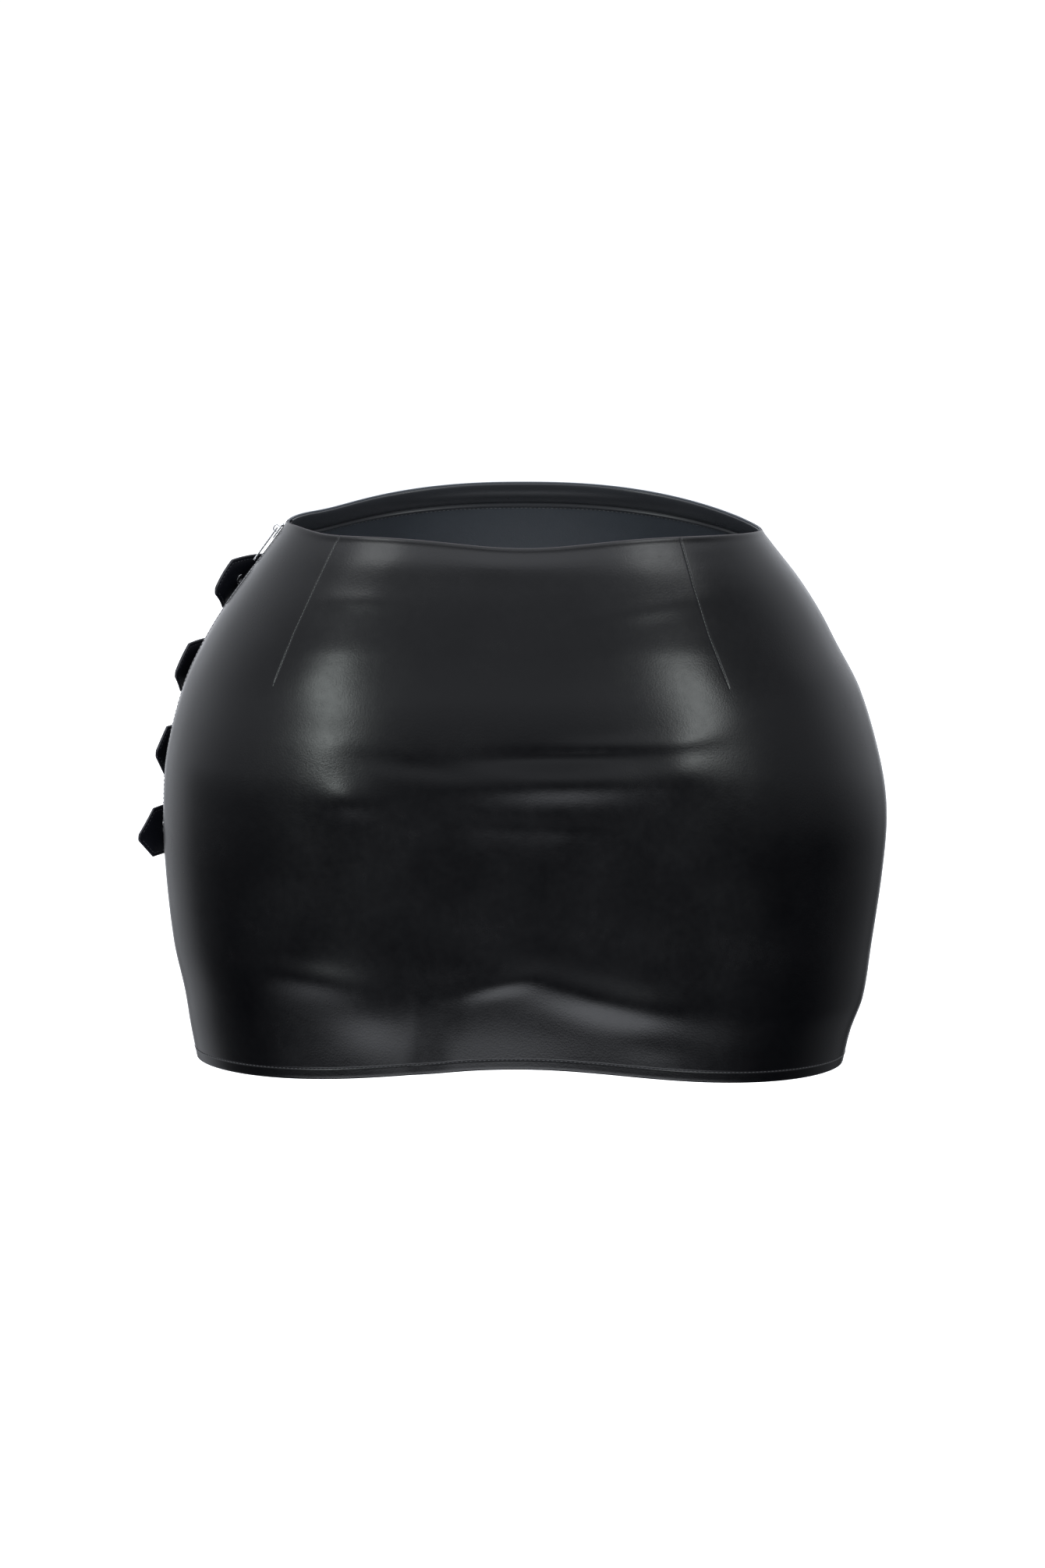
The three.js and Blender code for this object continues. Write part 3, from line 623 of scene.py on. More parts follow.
def front_turn(x, drop):
    """The turn of a place on the front with that x."""
    width = np.where(x < 0, section_size("left", drop), section_size("right", drop))
    across = np.clip(x / width, -1, 1)
    return np.arccos(-np.sign(across) * np.abs(across) ** (FRONT_SQUARENESS / 2))


def back_turn(x, drop):
    width = np.where(x < 0, section_size("left", drop), section_size("right", drop))
    across = np.clip(x / width, -1, 1)
    return -np.arccos(-np.sign(across) * np.abs(across) ** (BACK_SQUARENESS / 2))


# A dart runs down from the waist: face, then its x at the drops of its ends and middle.
DARTS = (
    (-1, (-115.5, -130.5, -144.5, -157.5)),
    (-1, (97.5, 106, 115.5, 128.5)),
    (1, (-88, -97, -106, -114)),
    (1, (86, 95, 104, 112)),
)


def dart_turn(dart, drop):
    face, places = dart
    x = np.interp(drop, DART_DROPS, places)
    return front_turn(x, drop) if face < 0 else back_turn(x, drop)


def distance_from_dart(dart, points, turns, drops):
    """How far each point lies from a dart, negative on the side nearer to the zip."""
    turn = dart_turn(dart, drops)
    away = length_of(points - outside(turn, drops)) * 0.92
    return np.clip(np.where(np.abs(turns) > np.abs(turn), away, -away), -FAR_AWAY, FAR_AWAY)


def panel_fractions():
    near = np.array(SEAM_FRACTIONS)
    middle = np.linspace(0, 1, COLUMN_COUNT)[2:-2]
    return np.concatenate([near, middle, 1 - near[::-1]])


def panel_rows():
    """Drops, and the outs of the outer and inner side, from the waist's fold to the hem's."""
    hem_edge = HEM_WALL / 2
    corner = np.radians(np.linspace(12, 90, 5))
    step_from = LENGTH - HEM_DEPTH
    plain = np.concatenate([
        np.arange(TURNED_EDGE + 0.8, 14, FINE_ROW_STEP),
        np.arange(14, step_from - 2, ROW_STEP),
        np.arange(step_from - 1, LENGTH - hem_edge - 0.5, FINE_ROW_STEP),
    ])
    wall = WALL + (HEM_WALL - WALL) * smooth_step(plain, step_from - 0.5, step_from + 1)
    lower = corner[::-1]
    drops = np.concatenate([
        TURNED_EDGE * (1 - np.cos(corner)), plain, LENGTH - hem_edge * (1 - np.cos(lower)),
    ])
    outer = np.concatenate([
        TURNED_EDGE * (np.sin(corner) - 1), np.zeros(len(plain)), hem_edge * (np.sin(lower) - 1),
    ])
    inner = np.concatenate([-TURNED_EDGE * (1 + np.sin(corner)), -wall, -hem_edge * (1 + np.sin(lower))])
    return drops, outer, inner


def panel_turns(front, fractions, drops):
    side = -1 if front else 1
    start = turn_at_run(side * zip_parting(drops), drops)
    end = turn_at_run(np.full(len(drops), -side * SEAM_GAP / 2), drops, start=math.pi)
    if not front:
        end = end - 2 * math.pi
    share = even_turns(fractions, math.pi if front else -math.pi)
    return start[:, None] + (end - start)[:, None] * share[None, :]


def leather_out(points, front):
    """How far the drawn leather stands out of the plain surface."""
    x = points[..., 0]
    z = points[..., 2]
    tuck = TUCK * np.exp(-(((x - TUCK_MIDDLE) / TUCK_SPREAD) ** 2)) * smooth_step(-z, -TUCK_FROM, -TUCK_TO)
    return folds_out(SMALL_FOLDS, x, z, front) - np.where(front, tuck, 0)


def panel_skin(turn, drop, out=0.0):
    """Points on a panel as it is drawn: the skin with its small folds."""
    points = outside(turn, drop)
    raised = leather_out(points, np.sin(turn) >= 0) + out
    return points + normal_at(turn, drop) * raised[..., None]


def set_attribute(obj, name, values):
    attribute = obj.data.attributes.new(name, "FLOAT", "POINT")
    attribute.data.foreach_set("value", np.asarray(values, np.float32))


def panel(name, front, node):
    drops, outer_out, inner_out = panel_rows()
    turns = panel_turns(front, panel_fractions(), drops)
    every_drop = np.broadcast_to(drops[:, None], turns.shape)
    points = outside(turns, every_drop)
    normals = normal_at(turns, every_drop)
    steps = length_of(np.diff(points, axis=1))
    from_start = np.concatenate([np.zeros((len(drops), 1)), np.cumsum(steps, axis=1)], axis=1)
    from_end = from_start[:, -1:] - from_start
    near_seam = np.minimum(from_start, from_end)
    seam_roll = SEAM_ROLL * np.exp(-((near_seam / SEAM_ROLL_WIDTH) ** 2))
    waist_roll = WAIST_ROLL * np.exp(-(((every_drop - WAIST_ROLL_DROP) / WAIST_ROLL_DROP) ** 2))
    raised = leather_out(points, front) - seam_roll
    outer = points + normals * (outer_out[:, None] + raised + waist_roll)[..., None]
    inner = points + normals * (inner_out[:, None] + raised)[..., None]
    obj = wall_mesh(name, outer, inner)
    for dart, attribute in zip([d for d in DARTS if (d[0] < 0) == front], ("left_dart", "right_dart")):
        set_attribute(obj, attribute, np.tile(distance_from_dart(dart, points, turns, every_drop).ravel(), 2))
    set_attribute(obj, "drop", np.tile(every_drop.ravel(), 2))
    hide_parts(node)
    dress(obj, PANEL_LEATHER)
    line_inside(obj)
    return obj


def line_inside(obj):
    """Gives the faces that look inward, down to the turned-up hem, the leather's rough side, coloured lighter
    still with painted light bounced up inside the skirt.
    """
    obj.data.materials.append(INNER_LEATHER_WITH_PAINTED_BOUNCE)
    count = len(obj.data.polygons)
    middles = np.empty(count * 3)
    normals = np.empty(count * 3)
    obj.data.polygons.foreach_get("center", middles)
    obj.data.polygons.foreach_get("normal", normals)
    middles = middles.reshape(-1, 3)
    outward = (middles * normals.reshape(-1, 3))[:, :2].sum(1)
    above_hem = middles[:, 2] > (HEM_AT_SIDE + HEM_DEPTH) * MM
    obj.data.polygons.foreach_set("material_index", ((outward < 0) & above_hem).astype(int))


front_leather = panel("front_leather", True, "front_panel")
back_leather = panel("back_leather", False, "back_panel")


# The facing inside the back waist: a rolled band with a narrow ridge below it

ROLL_DEPTH = 12.6
RIDGE_FROM = 13.2
RIDGE_TO = 15.6
BAND_SWELL = 2.2
RIDGE_SWELL = 1.5


def facing():
    drops = np.concatenate([
        [0.42, 0.5, 0.7, 1.0], np.arange(1.5, ROLL_DEPTH - 0.5, 0.7),
        np.linspace(ROLL_DEPTH - 0.4, FACING_DEPTH, 14),
    ])
    round_band = np.sin(np.clip((drops - 0.4) / (ROLL_DEPTH - 0.4), 0, 1) * math.pi) ** 0.6
    ridge = np.sin(np.clip((drops - RIDGE_FROM) / (RIDGE_TO - RIDGE_FROM), 0, 1) * math.pi) ** 0.7
    top = -WALL - 0.15
    inner_out = top - 0.5 - BAND_SWELL * round_band - RIDGE_SWELL * ridge
    fractions = panel_fractions()
    start = turn_at_run(np.full(len(drops), TAPE_OUTER + 3.0), drops)
    end = turn_at_run(np.full(len(drops), -2.0), drops, start=math.pi) - 2 * math.pi
    share = even_turns(fractions, -math.pi)
    turns = start[:, None] + (end - start)[:, None] * share[None, :]
    every_drop = np.broadcast_to(drops[:, None], turns.shape)
    points = outside(turns, every_drop)
    normals = normal_at(turns, every_drop)
    outer = points + normals * top
    inner = points + normals * inner_out[:, None, None]
    return wall_mesh("waist_facing", outer, inner)


waist_facing = facing()
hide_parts("waist_facing_back")
dress(waist_facing, FACING_LEATHER_WITH_PAINTED_REFLECTION)


# Straps


def strap_height(run):
    lying = CLEAR + STRAP_THICK / 2
    rise = smooth_step(STRAP_RISE_FROM - run, 0, STRAP_RISE_FROM - STRAP_RISE_TO)
    return lying + (STRAP_OVER_HEEL - lying) * rise


def free_end(strap, part):
    """The free end, from over the heel bar to the point: its middle, and three directions."""
    part = np.asarray(part, float)[..., None]
    start = beside_strap(strap, STRAP_FREE_FROM, 0, STRAP_OVER_HEEL)
    behind = beside_strap(strap, STRAP_FREE_FROM + 2, 0, STRAP_OVER_HEEL)
    edge = beside_strap(strap, STRAP_FREE_FROM, STRAP_HALF, STRAP_OVER_HEEL)
    tip = np.array(strap["tip"], float)
    middle = start + unit(start - behind) * (length_of(tip - start) * 0.5)
    centre = start * (1 - part) ** 2 + middle * 2 * part * (1 - part) + tip * part ** 2
    along = unit((middle - start) * (1 - part) + (tip - middle) * part)
    start_down = unit(edge - start)
    tip_down = unit(np.array([-strap["lean"] / (2 * STRAP_HALF), 0, -1.0]))
    down = unit(start_down * (1 - part) + tip_down * part)
    return centre, along, down, unit(np.cross(down, along))


def free_length(strap):
    points = free_end(strap, np.linspace(0, 1, 201))[0]
    return float(length_of(np.diff(points, axis=0)).sum())


LYING_LENGTH = STRAP_SEWN_END - STRAP_FREE_FROM

for strap in STRAPS:
    strap["free"] = free_length(strap)
    strap["length"] = LYING_LENGTH + strap["free"]


def on_strap(strap, travel, below, height):
    """A place on a strap: travel from its sewn end, distance below its middle, height over its middle."""
    travel, below, height = np.broadcast_arrays(*(np.asarray(v, float) for v in (travel, below, height)))
    run = STRAP_SEWN_END - np.minimum(travel, LYING_LENGTH)
    lying = beside_strap(strap, run, below, strap_height(run) + height)
    part = np.clip((travel - LYING_LENGTH) / strap["free"], 0, 1)
    centre, _, down, out = free_end(strap, part)
    free = centre + down * below[..., None] + out * height[..., None]
    return np.where((travel > LYING_LENGTH)[..., None], free, lying)


STITCH_INSET = 2.6
GROOVE_DEPTH = 0.16
GROOVE_HALF = 0.45


def band_section(half, thick, inset=STITCH_INSET):
    """The outline of a strip's cut: round edges and a shallow groove for each row of stitches."""
    radius = thick / 2
    flat = half - radius
    groove = half - inset
    across = np.array([
        -flat, -groove - GROOVE_HALF, -groove, -groove + GROOVE_HALF, -flat * 0.55, -flat * 0.25, 0,
        flat * 0.25, flat * 0.55, groove - GROOVE_HALF, groove, groove + GROOVE_HALF, flat,
    ])
    dip = np.zeros(len(across))
    dip[[2, 10]] = GROOVE_DEPTH
    swell = 0.08 * (1 - (across / half) ** 2)
    angles = np.radians(np.linspace(90, -90, 7))[1:-1]
    side = np.stack([flat + radius * np.cos(angles), radius * np.sin(angles)], -1)
    upper = np.stack([across, radius - dip + swell], -1)
    lower = np.stack([across[::-1], -(radius - dip)], -1)
    far_side = np.stack([-side[::-1, 0], side[::-1, 1]], -1)
    return np.concatenate([upper, side, lower, far_side])


def strap_travels(strap):
    """Where a strap's rings lie, closer together where it bends and at its ends."""
    length = strap["length"]
    shoulder = length - STRAP_POINT
    return np.concatenate([
        [0, 0.1, 0.3, 0.6, 1.0], np.arange(3, LYING_LENGTH - 26, 3.5),
        np.arange(LYING_LENGTH - 25, LYING_LENGTH + 4, 1.4),
        np.arange(LYING_LENGTH + 5.5, shoulder - 2, 3.0), shoulder + np.arange(-1, 13, 1.0),
        length - np.array([0.9, 0.6, 0.35, 0.15, 0.04, 0]),
    ])


EDGE_ROUND = 0.9


def strap_mesh(strap, name):
    section = band_section(STRAP_HALF, STRAP_THICK)
    travels = strap_travels(strap)
    left = strap["length"] - travels
    half = STRAP_TIP_HALF + (STRAP_HALF - STRAP_TIP_HALF) * np.clip(left / STRAP_POINT, 0, 1)
    near_end = np.minimum(left, travels)
    thin = np.sqrt(np.clip(1 - (1 - np.minimum(near_end / EDGE_ROUND, 1)) ** 2, 0.02, 1))
    shrink = STRAP_HALF - half + (1 - thin) * EDGE_ROUND
    below = np.sign(section[:, 0]) * np.maximum(np.abs(section[:, 0])[None, :] - shrink[:, None], 0)
    height = section[None, :, 1] * thin[:, None]
    rings = on_strap(strap, travels[:, None], below, height)
    return ring_mesh(name, rings)


def cut_away(obj, tool):
    """Cuts the tool's shape out of an object and removes the tool."""
    cut = obj.modifiers.new("cut", "BOOLEAN")
    cut.operation = "DIFFERENCE"
    cut.solver = "EXACT"
    cut.object = tool
    bpy.ops.object.select_all(action="DESELECT")
    obj.select_set(True)
    bpy.context.view_layer.objects.active = obj
    bpy.ops.object.modifier_apply(modifier=cut.name)
    bpy.data.objects.remove(tool)
    return finish_mesh(obj)


def points_of(obj):
    points = np.empty(len(obj.data.vertices) * 3)
    obj.data.vertices.foreach_get("co", points)
    return points.reshape(-1, 3)


def put_points(obj, points):
    """Moves an object's vertices to places in millimetres."""
    obj.data.vertices.foreach_set("co", (np.asarray(points) * MM).ravel())
    obj.data.update()
    return obj


def slot_tool(strap):
    bpy.ops.mesh.primitive_cylinder_add(vertices=32, radius=1, depth=1)
    tool = bpy.context.object
    flat = points_of(tool)
    run = SLOT_MIDDLE + flat[:, 0] * SLOT_HALF_LENGTH
    height = np.where(flat[:, 2] < 0, 0.0, STRAP_OVER_HEEL + STRAP_THICK)
    return put_points(tool, beside_strap(strap, run, flat[:, 1] * SLOT_HALF_WIDTH, height))


def eyelet_place(strap):
    """The eyelet's centre and its side, out and forward directions."""
    centre, along, _, out = free_end(strap, 1 - EYELET_FROM_TIP / strap["free"])
    side = unit(np.cross(out, along))
    return centre, side, out, unit(np.cross(side, out))


def put_at_eyelet(obj, strap):
    centre, side, out, forward = eyelet_place(strap)
    flat = points_of(obj)
    return put_points(obj, centre + flat[:, :1] * side + flat[:, 1:2] * forward + flat[:, 2:] * out)


def eyelet_tool(strap):
    bpy.ops.mesh.primitive_cylinder_add(vertices=32, radius=EYELET_BARREL + SEAM_GAP, depth=6)
    return put_at_eyelet(bpy.context.object, strap)


def make_strap(strap, number):
    obj = strap_mesh(strap, f"strap_leather_{number}")
    cut_away(obj, slot_tool(strap))
    cut_away(obj, eyelet_tool(strap))
    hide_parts(f"strap_{number}")
    dress(obj, STRAP_LEATHER)
    return obj


# Chapes: each is one strip folded round its buckle's heel bar


def chape_line():
    """Runs and heights of the strip's middle, from under the buckle round to its sewn end."""
    under = CLEAR + CHAPE_WALL / 2
    over = under + CHAPE_WALL + SEAM_GAP
    top = FRAME_TOP + LOOP_GAP + CHAPE_WALL / 2
    reach = BAR_HALF + LOOP_GAP + CHAPE_WALL / 2
    below = np.arange(CHAPE_END, HEEL_BAR, 2.0)
    turn = np.radians(np.linspace(-90, 90, 15))
    middle = (under + top) / 2
    round_bar = np.stack([HEEL_BAR + reach * np.cos(turn), middle + (top - under) / 2 * np.sin(turn)], -1)
    back = np.arange(HEEL_BAR - 1.5, CHAPE_END - 0.1, -1.5)
    fall = smooth_step(HEEL_BAR - back, 1, 13)
    return np.concatenate([
        np.stack([below, np.full(len(below), under)], -1), round_bar,
        np.stack([back, top + (over - top) * fall], -1),
    ])


def line_frames(line):
    """Distance along a line of points in a plane, and the direction at each."""
    steps = length_of(np.diff(line, axis=0))
    travel = np.concatenate([[0], np.cumsum(steps)])
    ahead = np.concatenate([line[1:], line[-1:]])
    behind = np.concatenate([line[:1], line[:-1]])
    return travel, unit(ahead - behind)


def on_chape(strap, travel, below, height):
    """A place on a chape: travel along its strip, distance below its middle, height over it."""
    line = chape_line()
    travels, along = line_frames(line)
    middle = np.stack([np.interp(travel, travels, line[:, k]) for k in (0, 1)], -1)
    way = unit(np.stack([np.interp(travel, travels, along[:, k]) for k in (0, 1)], -1))
    run = middle[..., 0] - way[..., 1] * height
    up = middle[..., 1] + way[..., 0] * height
    return beside_strap(strap, run, below, up)


def chape_length():
    return float(line_frames(chape_line())[0][-1])


def make_chape(strap, number):
    section = band_section(CHAPE_HALF, CHAPE_WALL, inset=2.2)
    travels = line_frames(chape_line())[0]
    shape = (len(travels), len(section))
    rings = on_chape(strap, np.broadcast_to(travels[:, None], shape), np.broadcast_to(section[:, 0], shape),
                     np.broadcast_to(section[:, 1], shape))
    obj = ring_mesh(f"chape_leather_{number}", rings)
    bpy.ops.mesh.primitive_cube_add(size=2)
    tool = bpy.context.object
    flat = points_of(tool)
    run = np.where(flat[:, 0] < 0, HEEL_BAR - 7, HEEL_BAR + 8)
    height = np.where(flat[:, 2] < 0, 0.1, FRAME_TOP + 3)
    put_points(tool, beside_strap(strap, run, flat[:, 1] * CHAPE_SLOT_HALF, height))
    cut_away(obj, tool)
    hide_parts(f"chape_{number}")
    dress(obj, STRAP_LEATHER)
    chape_length() * MM
    return obj


strap_pieces = [make_strap(strap, i + 1) for i, strap in enumerate(STRAPS)]
chape_pieces = [make_chape(strap, i + 1) for i, strap in enumerate(STRAPS)]


# Stitches

PITCH = 2.85
STITCH_LENGTH = 1.8
THREAD_HALF = 0.24


def stitch_shape():
    """One stitch along X, a unit long: a thread whose ends dip into the leather."""
    along = np.linspace(-1, 1, 7)
    angles = np.arange(6) * math.tau / 6
    half = np.sqrt(np.clip(1 - along ** 4, 0.06, 1))
    dip = 1.3 * along ** 4
    x = np.broadcast_to(along[:, None] / 2, (7, 6))
    y = half[:, None] * np.cos(angles)[None, :]
    z = half[:, None] * np.sin(angles)[None, :] - dip[:, None]
    return np.stack([x, y, z], -1)


def stitch_row(points, normals, pitch=PITCH, length=STITCH_LENGTH):
    """Middles, directions and normals of stitches laid evenly along a line of points."""
    travel = np.concatenate([[0], np.cumsum(length_of(np.diff(points, axis=0)))])
    count = max(1, int(round(travel[-1] / pitch)))
    middles = (np.arange(count) + 0.5) * travel[-1] / count

    def at(values, where):
        return np.stack([np.interp(where, travel, values[:, k]) for k in range(3)], -1)

    start = at(points, middles - length / 2)
    end = at(points, middles + length / 2)
    return (start + end) / 2, unit(end - start), unit(at(normals, middles))


def stitches(name, rows, material, thick=THREAD_HALF, length=STITCH_LENGTH, body="skirt"):
    """Every stitch of some rows as one mesh."""
    middles, ways, normals = (np.concatenate([row[k] for row in rows]) for k in range(3))
    sides = unit(np.cross(normals, ways))
    shape = stitch_shape().reshape(-1, 3)
    points = (middles[:, None] + shape[None, :, :1] * length * ways[:, None]
              + shape[None, :, 1:2] * thick * sides[:, None]
              + (shape[None, :, 2:] + 0.35) * thick * normals[:, None])
    rings, size = 7, 6
    here = (np.arange(rings - 1) * size)[:, None]
    this = np.arange(size)[None, :]
    following = (this + 1) % size
    quads = np.stack([here + this, here + size + this, here + size + following, here + following], -1)
    quads = quads.reshape(-1, 4)
    caps = np.array([(0, 1, 2, 3), (0, 3, 4, 5), (36, 39, 38, 37), (36, 41, 40, 39)])
    one = np.concatenate([quads, caps])
    faces = one[None] + (np.arange(len(middles)) * rings * size)[:, None, None]
    obj = finish_mesh(mesh_from(name, points, faces), angle=70)
    return dress(obj, material, body)


def hem_rows(front):
    drop = LENGTH - HEM_STITCH_UP
    turns = panel_turns(front, np.linspace(0.006, 0.994, 420), np.array([drop], float))[0]
    drops = np.full(len(turns), float(drop))
    normals = normal_at(turns, drops)
    return [
        stitch_row(panel_skin(turns, drops), normals),
        stitch_row(panel_skin(turns, drops, -HEM_WALL), -normals),
    ]


def dart_rows():
    rows = []
    for dart in DARTS:
        drops = np.linspace(1.5, DART_DROPS[-1], 80)
        turns = dart_turn(dart, drops)
        rows.append(stitch_row(panel_skin(turns, drops), normal_at(turns, drops), pitch=2.3, length=2.0))
    return rows


FACING_STITCH_DROP = 16.5


def facing_rows():
    drop = np.array([FACING_STITCH_DROP])
    start = turn_at_run(TAPE_OUTER + 4.0, drop)
    end = turn_at_run(-4.0, drop, start=math.pi) - 2 * math.pi
    turns = start + (end - start) * even_turns(np.linspace(0, 1, 300), -math.pi)
    drops = np.full(300, FACING_STITCH_DROP)
    return [stitch_row(panel_skin(turns, drops, -WALL), -normal_at(turns, drops))]


def zip_rows():
    """A row on each side of the zip, through the panel's edge and the tape."""
    rows = []
    drops = np.linspace(3, ZIP_END + 3, 160)
    for side in (-1, 1):
        turns = turn_at_run(np.full(160, side * ZIP_STITCH_RUN), drops)
        normals = normal_at(turns, drops)
        rows.append(stitch_row(panel_skin(turns, drops), normals))
        rows.append(stitch_row(panel_skin(turns, drops, TAPE_BOTTOM), -normals))
    across = np.linspace(-ZIP_STITCH_RUN, ZIP_STITCH_RUN, 12)
    last = np.full(12, ZIP_END + 3.0)
    turns = turn_at_run(across, last)
    rows.append(stitch_row(panel_skin(turns, last), normal_at(turns, last)))
    return rows


ZIP_STITCH_RUN = 8.0


def row_on(place, travels, belows, height, side=1):
    """Stitches on a strip: place gives its points from travel, distance below and height."""
    travels, belows = np.broadcast_arrays(np.asarray(travels, float), np.asarray(belows, float))
    points = place(travels, belows, np.full(travels.shape, height))
    above = place(travels, belows, np.full(travels.shape, height + 0.5))
    return stitch_row(points, side * unit(above - points))


SEWN_BOX = 24


def strap_rows(strap):
    length = strap["length"]
    inset = STRAP_HALF - STITCH_INSET
    travels = np.concatenate([np.arange(2.6, length - STRAP_POINT, 2.0),
                              np.arange(length - STRAP_POINT, length - 2.4, 1.0)])
    half = STRAP_TIP_HALF + (STRAP_HALF - STRAP_TIP_HALF) * np.clip((length - travels) / STRAP_POINT, 0, 1)
    belows = np.maximum(inset - (STRAP_HALF - half), 0)
    top = STRAP_THICK / 2 - GROOVE_DEPTH

    def place(travel, below, height):
        return on_strap(strap, travel, below, height)

    rows = []
    for sign in (-1, 1):
        rows.append(row_on(place, travels, sign * belows, top))
        lifted = travels > LYING_LENGTH - 20
        rows.append(row_on(place, travels[lifted], sign * belows[lifted], -top, side=-1))
    across = np.linspace(-inset, inset, 16)
    swollen = STRAP_THICK / 2 + 0.05
    for travel in (2.8, SEWN_BOX):
        rows.append(row_on(place, np.full(16, travel), across, swollen))
    return rows


def chape_rows(strap):
    length = chape_length()
    inset = CHAPE_HALF - 2.2
    travels = np.arange(length - (HEEL_BAR - CHAPE_END) + 12, length - 2.4, 2.0)
    top = CHAPE_WALL / 2 - GROOVE_DEPTH

    def place(travel, below, height):
        return on_chape(strap, travel, below, height)

    rows = [row_on(place, travels, sign * inset, top) for sign in (-1, 1)]
    across = np.linspace(-inset, inset, 16)
    for travel in (length - 2.6, length - 20):
        rows.append(row_on(place, np.full(16, travel), across, CHAPE_WALL / 2 + 0.05))
    return rows


stitches("hem_stitches_front", hem_rows(True), SEAM_THREAD)
stitches("hem_stitches_back", hem_rows(False), SEAM_THREAD)
stitches("dart_stitches", dart_rows(), DART_THREAD, thick=0.14, length=2.0)
stitches("facing_stitches", facing_rows(), FACING_THREAD)
stitches("zip_stitches", zip_rows(), SEAM_THREAD)
stitches("strap_stitches", [row for strap in STRAPS for row in strap_rows(strap)], STRAP_THREAD)
stitches("chape_stitches", [row for strap in STRAPS for row in chape_rows(strap)], STRAP_THREAD)


# Buckles and eyelets


def use(obj):
    bpy.ops.object.select_all(action="DESELECT")
    obj.select_set(True)
    bpy.context.view_layer.objects.active = obj
    return obj


def select_points(obj, chosen):
    """Selects the vertices that a test of their places picks, and leaves the object in edit mode."""
    use(obj)
    bpy.ops.object.mode_set(mode="EDIT")
    bpy.ops.mesh.select_mode(type="VERT")
    bpy.ops.mesh.select_all(action="DESELECT")
    bpy.ops.object.mode_set(mode="OBJECT")
    obj.data.vertices.foreach_set("select", chosen(points_of(obj)))
    bpy.ops.object.mode_set(mode="EDIT")


def pull_apart(obj, axis, by):
    """Moves the two halves of a ring apart along an axis, which leaves straight bars between them."""
    for sign in (-1, 1):
        select_points(obj, lambda points: points[:, axis] * sign > 0)
        bpy.ops.transform.translate(value=tuple(sign * by if k == axis else 0 for k in range(3)))
        bpy.ops.object.mode_set(mode="OBJECT")


def cut_long_edges(obj, longest):
    """Cuts the long edges of an object into short ones, so that it bends smoothly."""
    use(obj)
    bpy.ops.object.mode_set(mode="EDIT")
    bpy.ops.mesh.select_mode(type="EDGE")
    bpy.ops.mesh.select_all(action="DESELECT")
    bpy.ops.object.mode_set(mode="OBJECT")
    points = points_of(obj)
    ends = np.empty(len(obj.data.edges) * 2, int)
    obj.data.edges.foreach_get("vertices", ends)
    ends = ends.reshape(-1, 2)
    reach = length_of(points[ends[:, 0]] - points[ends[:, 1]])
    obj.data.edges.foreach_set("select", reach > longest)
    bpy.ops.object.mode_set(mode="EDIT")
    bpy.ops.mesh.subdivide(number_cuts=max(1, int(reach.max() / longest)))
    bpy.ops.object.mode_set(mode="OBJECT")


def buckle_frame(strap, number):
    bpy.ops.mesh.primitive_torus_add(major_radius=FRAME_CORNER - BAR_HALF * 0.3, minor_radius=BAR_HALF,
                                     major_segments=24, minor_segments=14, rotation=(0, 0, math.radians(7.5)))
    obj = bpy.context.object
    bpy.ops.object.transform_apply(location=False, rotation=True, scale=False)
    corner = FRAME_CORNER - BAR_HALF * 0.3
    pull_apart(obj, 0, (FAR_BAR - HEEL_BAR) / 2 - corner)
    pull_apart(obj, 1, FRAME_HALF - corner)
    cut_long_edges(obj, 2.5)
    flat = points_of(obj)
    tall = (FRAME_TOP - FRAME_BOTTOM) / 2 / BAR_HALF
    run = (HEEL_BAR + FAR_BAR) / 2 + flat[:, 0]
    height = (FRAME_BOTTOM + FRAME_TOP) / 2 + flat[:, 2] * tall
    put_points(obj, beside_strap(strap, run, flat[:, 1], height))
    obj.name = f"buckle_bars_{number}"
    finish_mesh(obj)
    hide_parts(f"buckle_frame_{number}")
    return dress(obj, METAL)


def bent_rod(name, path, half, tapered=False):
    """A round rod along a smooth curve through points in the X and Z plane, as a mesh."""
    data = bpy.data.curves.new(name, "CURVE")
    data.dimensions = "3D"
    data.bevel_depth = half
    data.bevel_resolution = 4
    data.resolution_u = 5
    data.use_fill_caps = True
    line = data.splines.new("BEZIER")
    line.bezier_points.add(len(path) - 1)
    for place, point in zip(path, line.bezier_points):
        point.co = (place[0], 0, place[1])
        point.handle_left_type = "AUTO"
        point.handle_right_type = "AUTO"
    if tapered:
        line.bezier_points[-1].radius = 0.72
    obj = use(new_object(name, data))
    bpy.ops.object.convert(target="MESH")
    return bpy.context.object


def prong(strap, number):
    wrap = BAR_HALF + SEAM_GAP + PRONG_RADIUS
    low = FRAME_BOTTOM - SEAM_GAP - PRONG_RADIUS
    high = FRAME_TOP + SEAM_GAP + PRONG_RADIUS
    obj = bent_rod(f"prong_rod_{number}", [
        (HEEL_BAR + wrap, low + 1.5), (HEEL_BAR + 1.4, low + 0.3), (HEEL_BAR, low),
        (HEEL_BAR - 1.6, low + 0.4), (HEEL_BAR - wrap, low + 1.7), (HEEL_BAR - wrap, high - 1.5),
        (HEEL_BAR - 1.5, high - 0.3), (HEEL_BAR, high), (HEEL_BAR + 3.5, high - 0.6),
        (HEEL_BAR + 8, high - 1.5), (SLOT_MIDDLE, high - 1.5), (SLOT_MIDDLE + 5, high - 0.6),
        (FAR_BAR - 2, high + 0.1), (FAR_BAR + 2.2, high),
    ], PRONG_RADIUS, tapered=True)
    flat = points_of(obj)
    put_points(obj, beside_strap(strap, flat[:, 0], flat[:, 1], flat[:, 2]))
    finish_mesh(obj)
    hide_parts(f"buckle_prong_{number}")
    return dress(obj, METAL)


def joined(name, objects):
    bpy.ops.object.select_all(action="DESELECT")
    for obj in objects:
        obj.select_set(True)
    bpy.context.view_layer.objects.active = objects[0]
    bpy.ops.object.join()
    objects[0].name = name
    return objects[0]


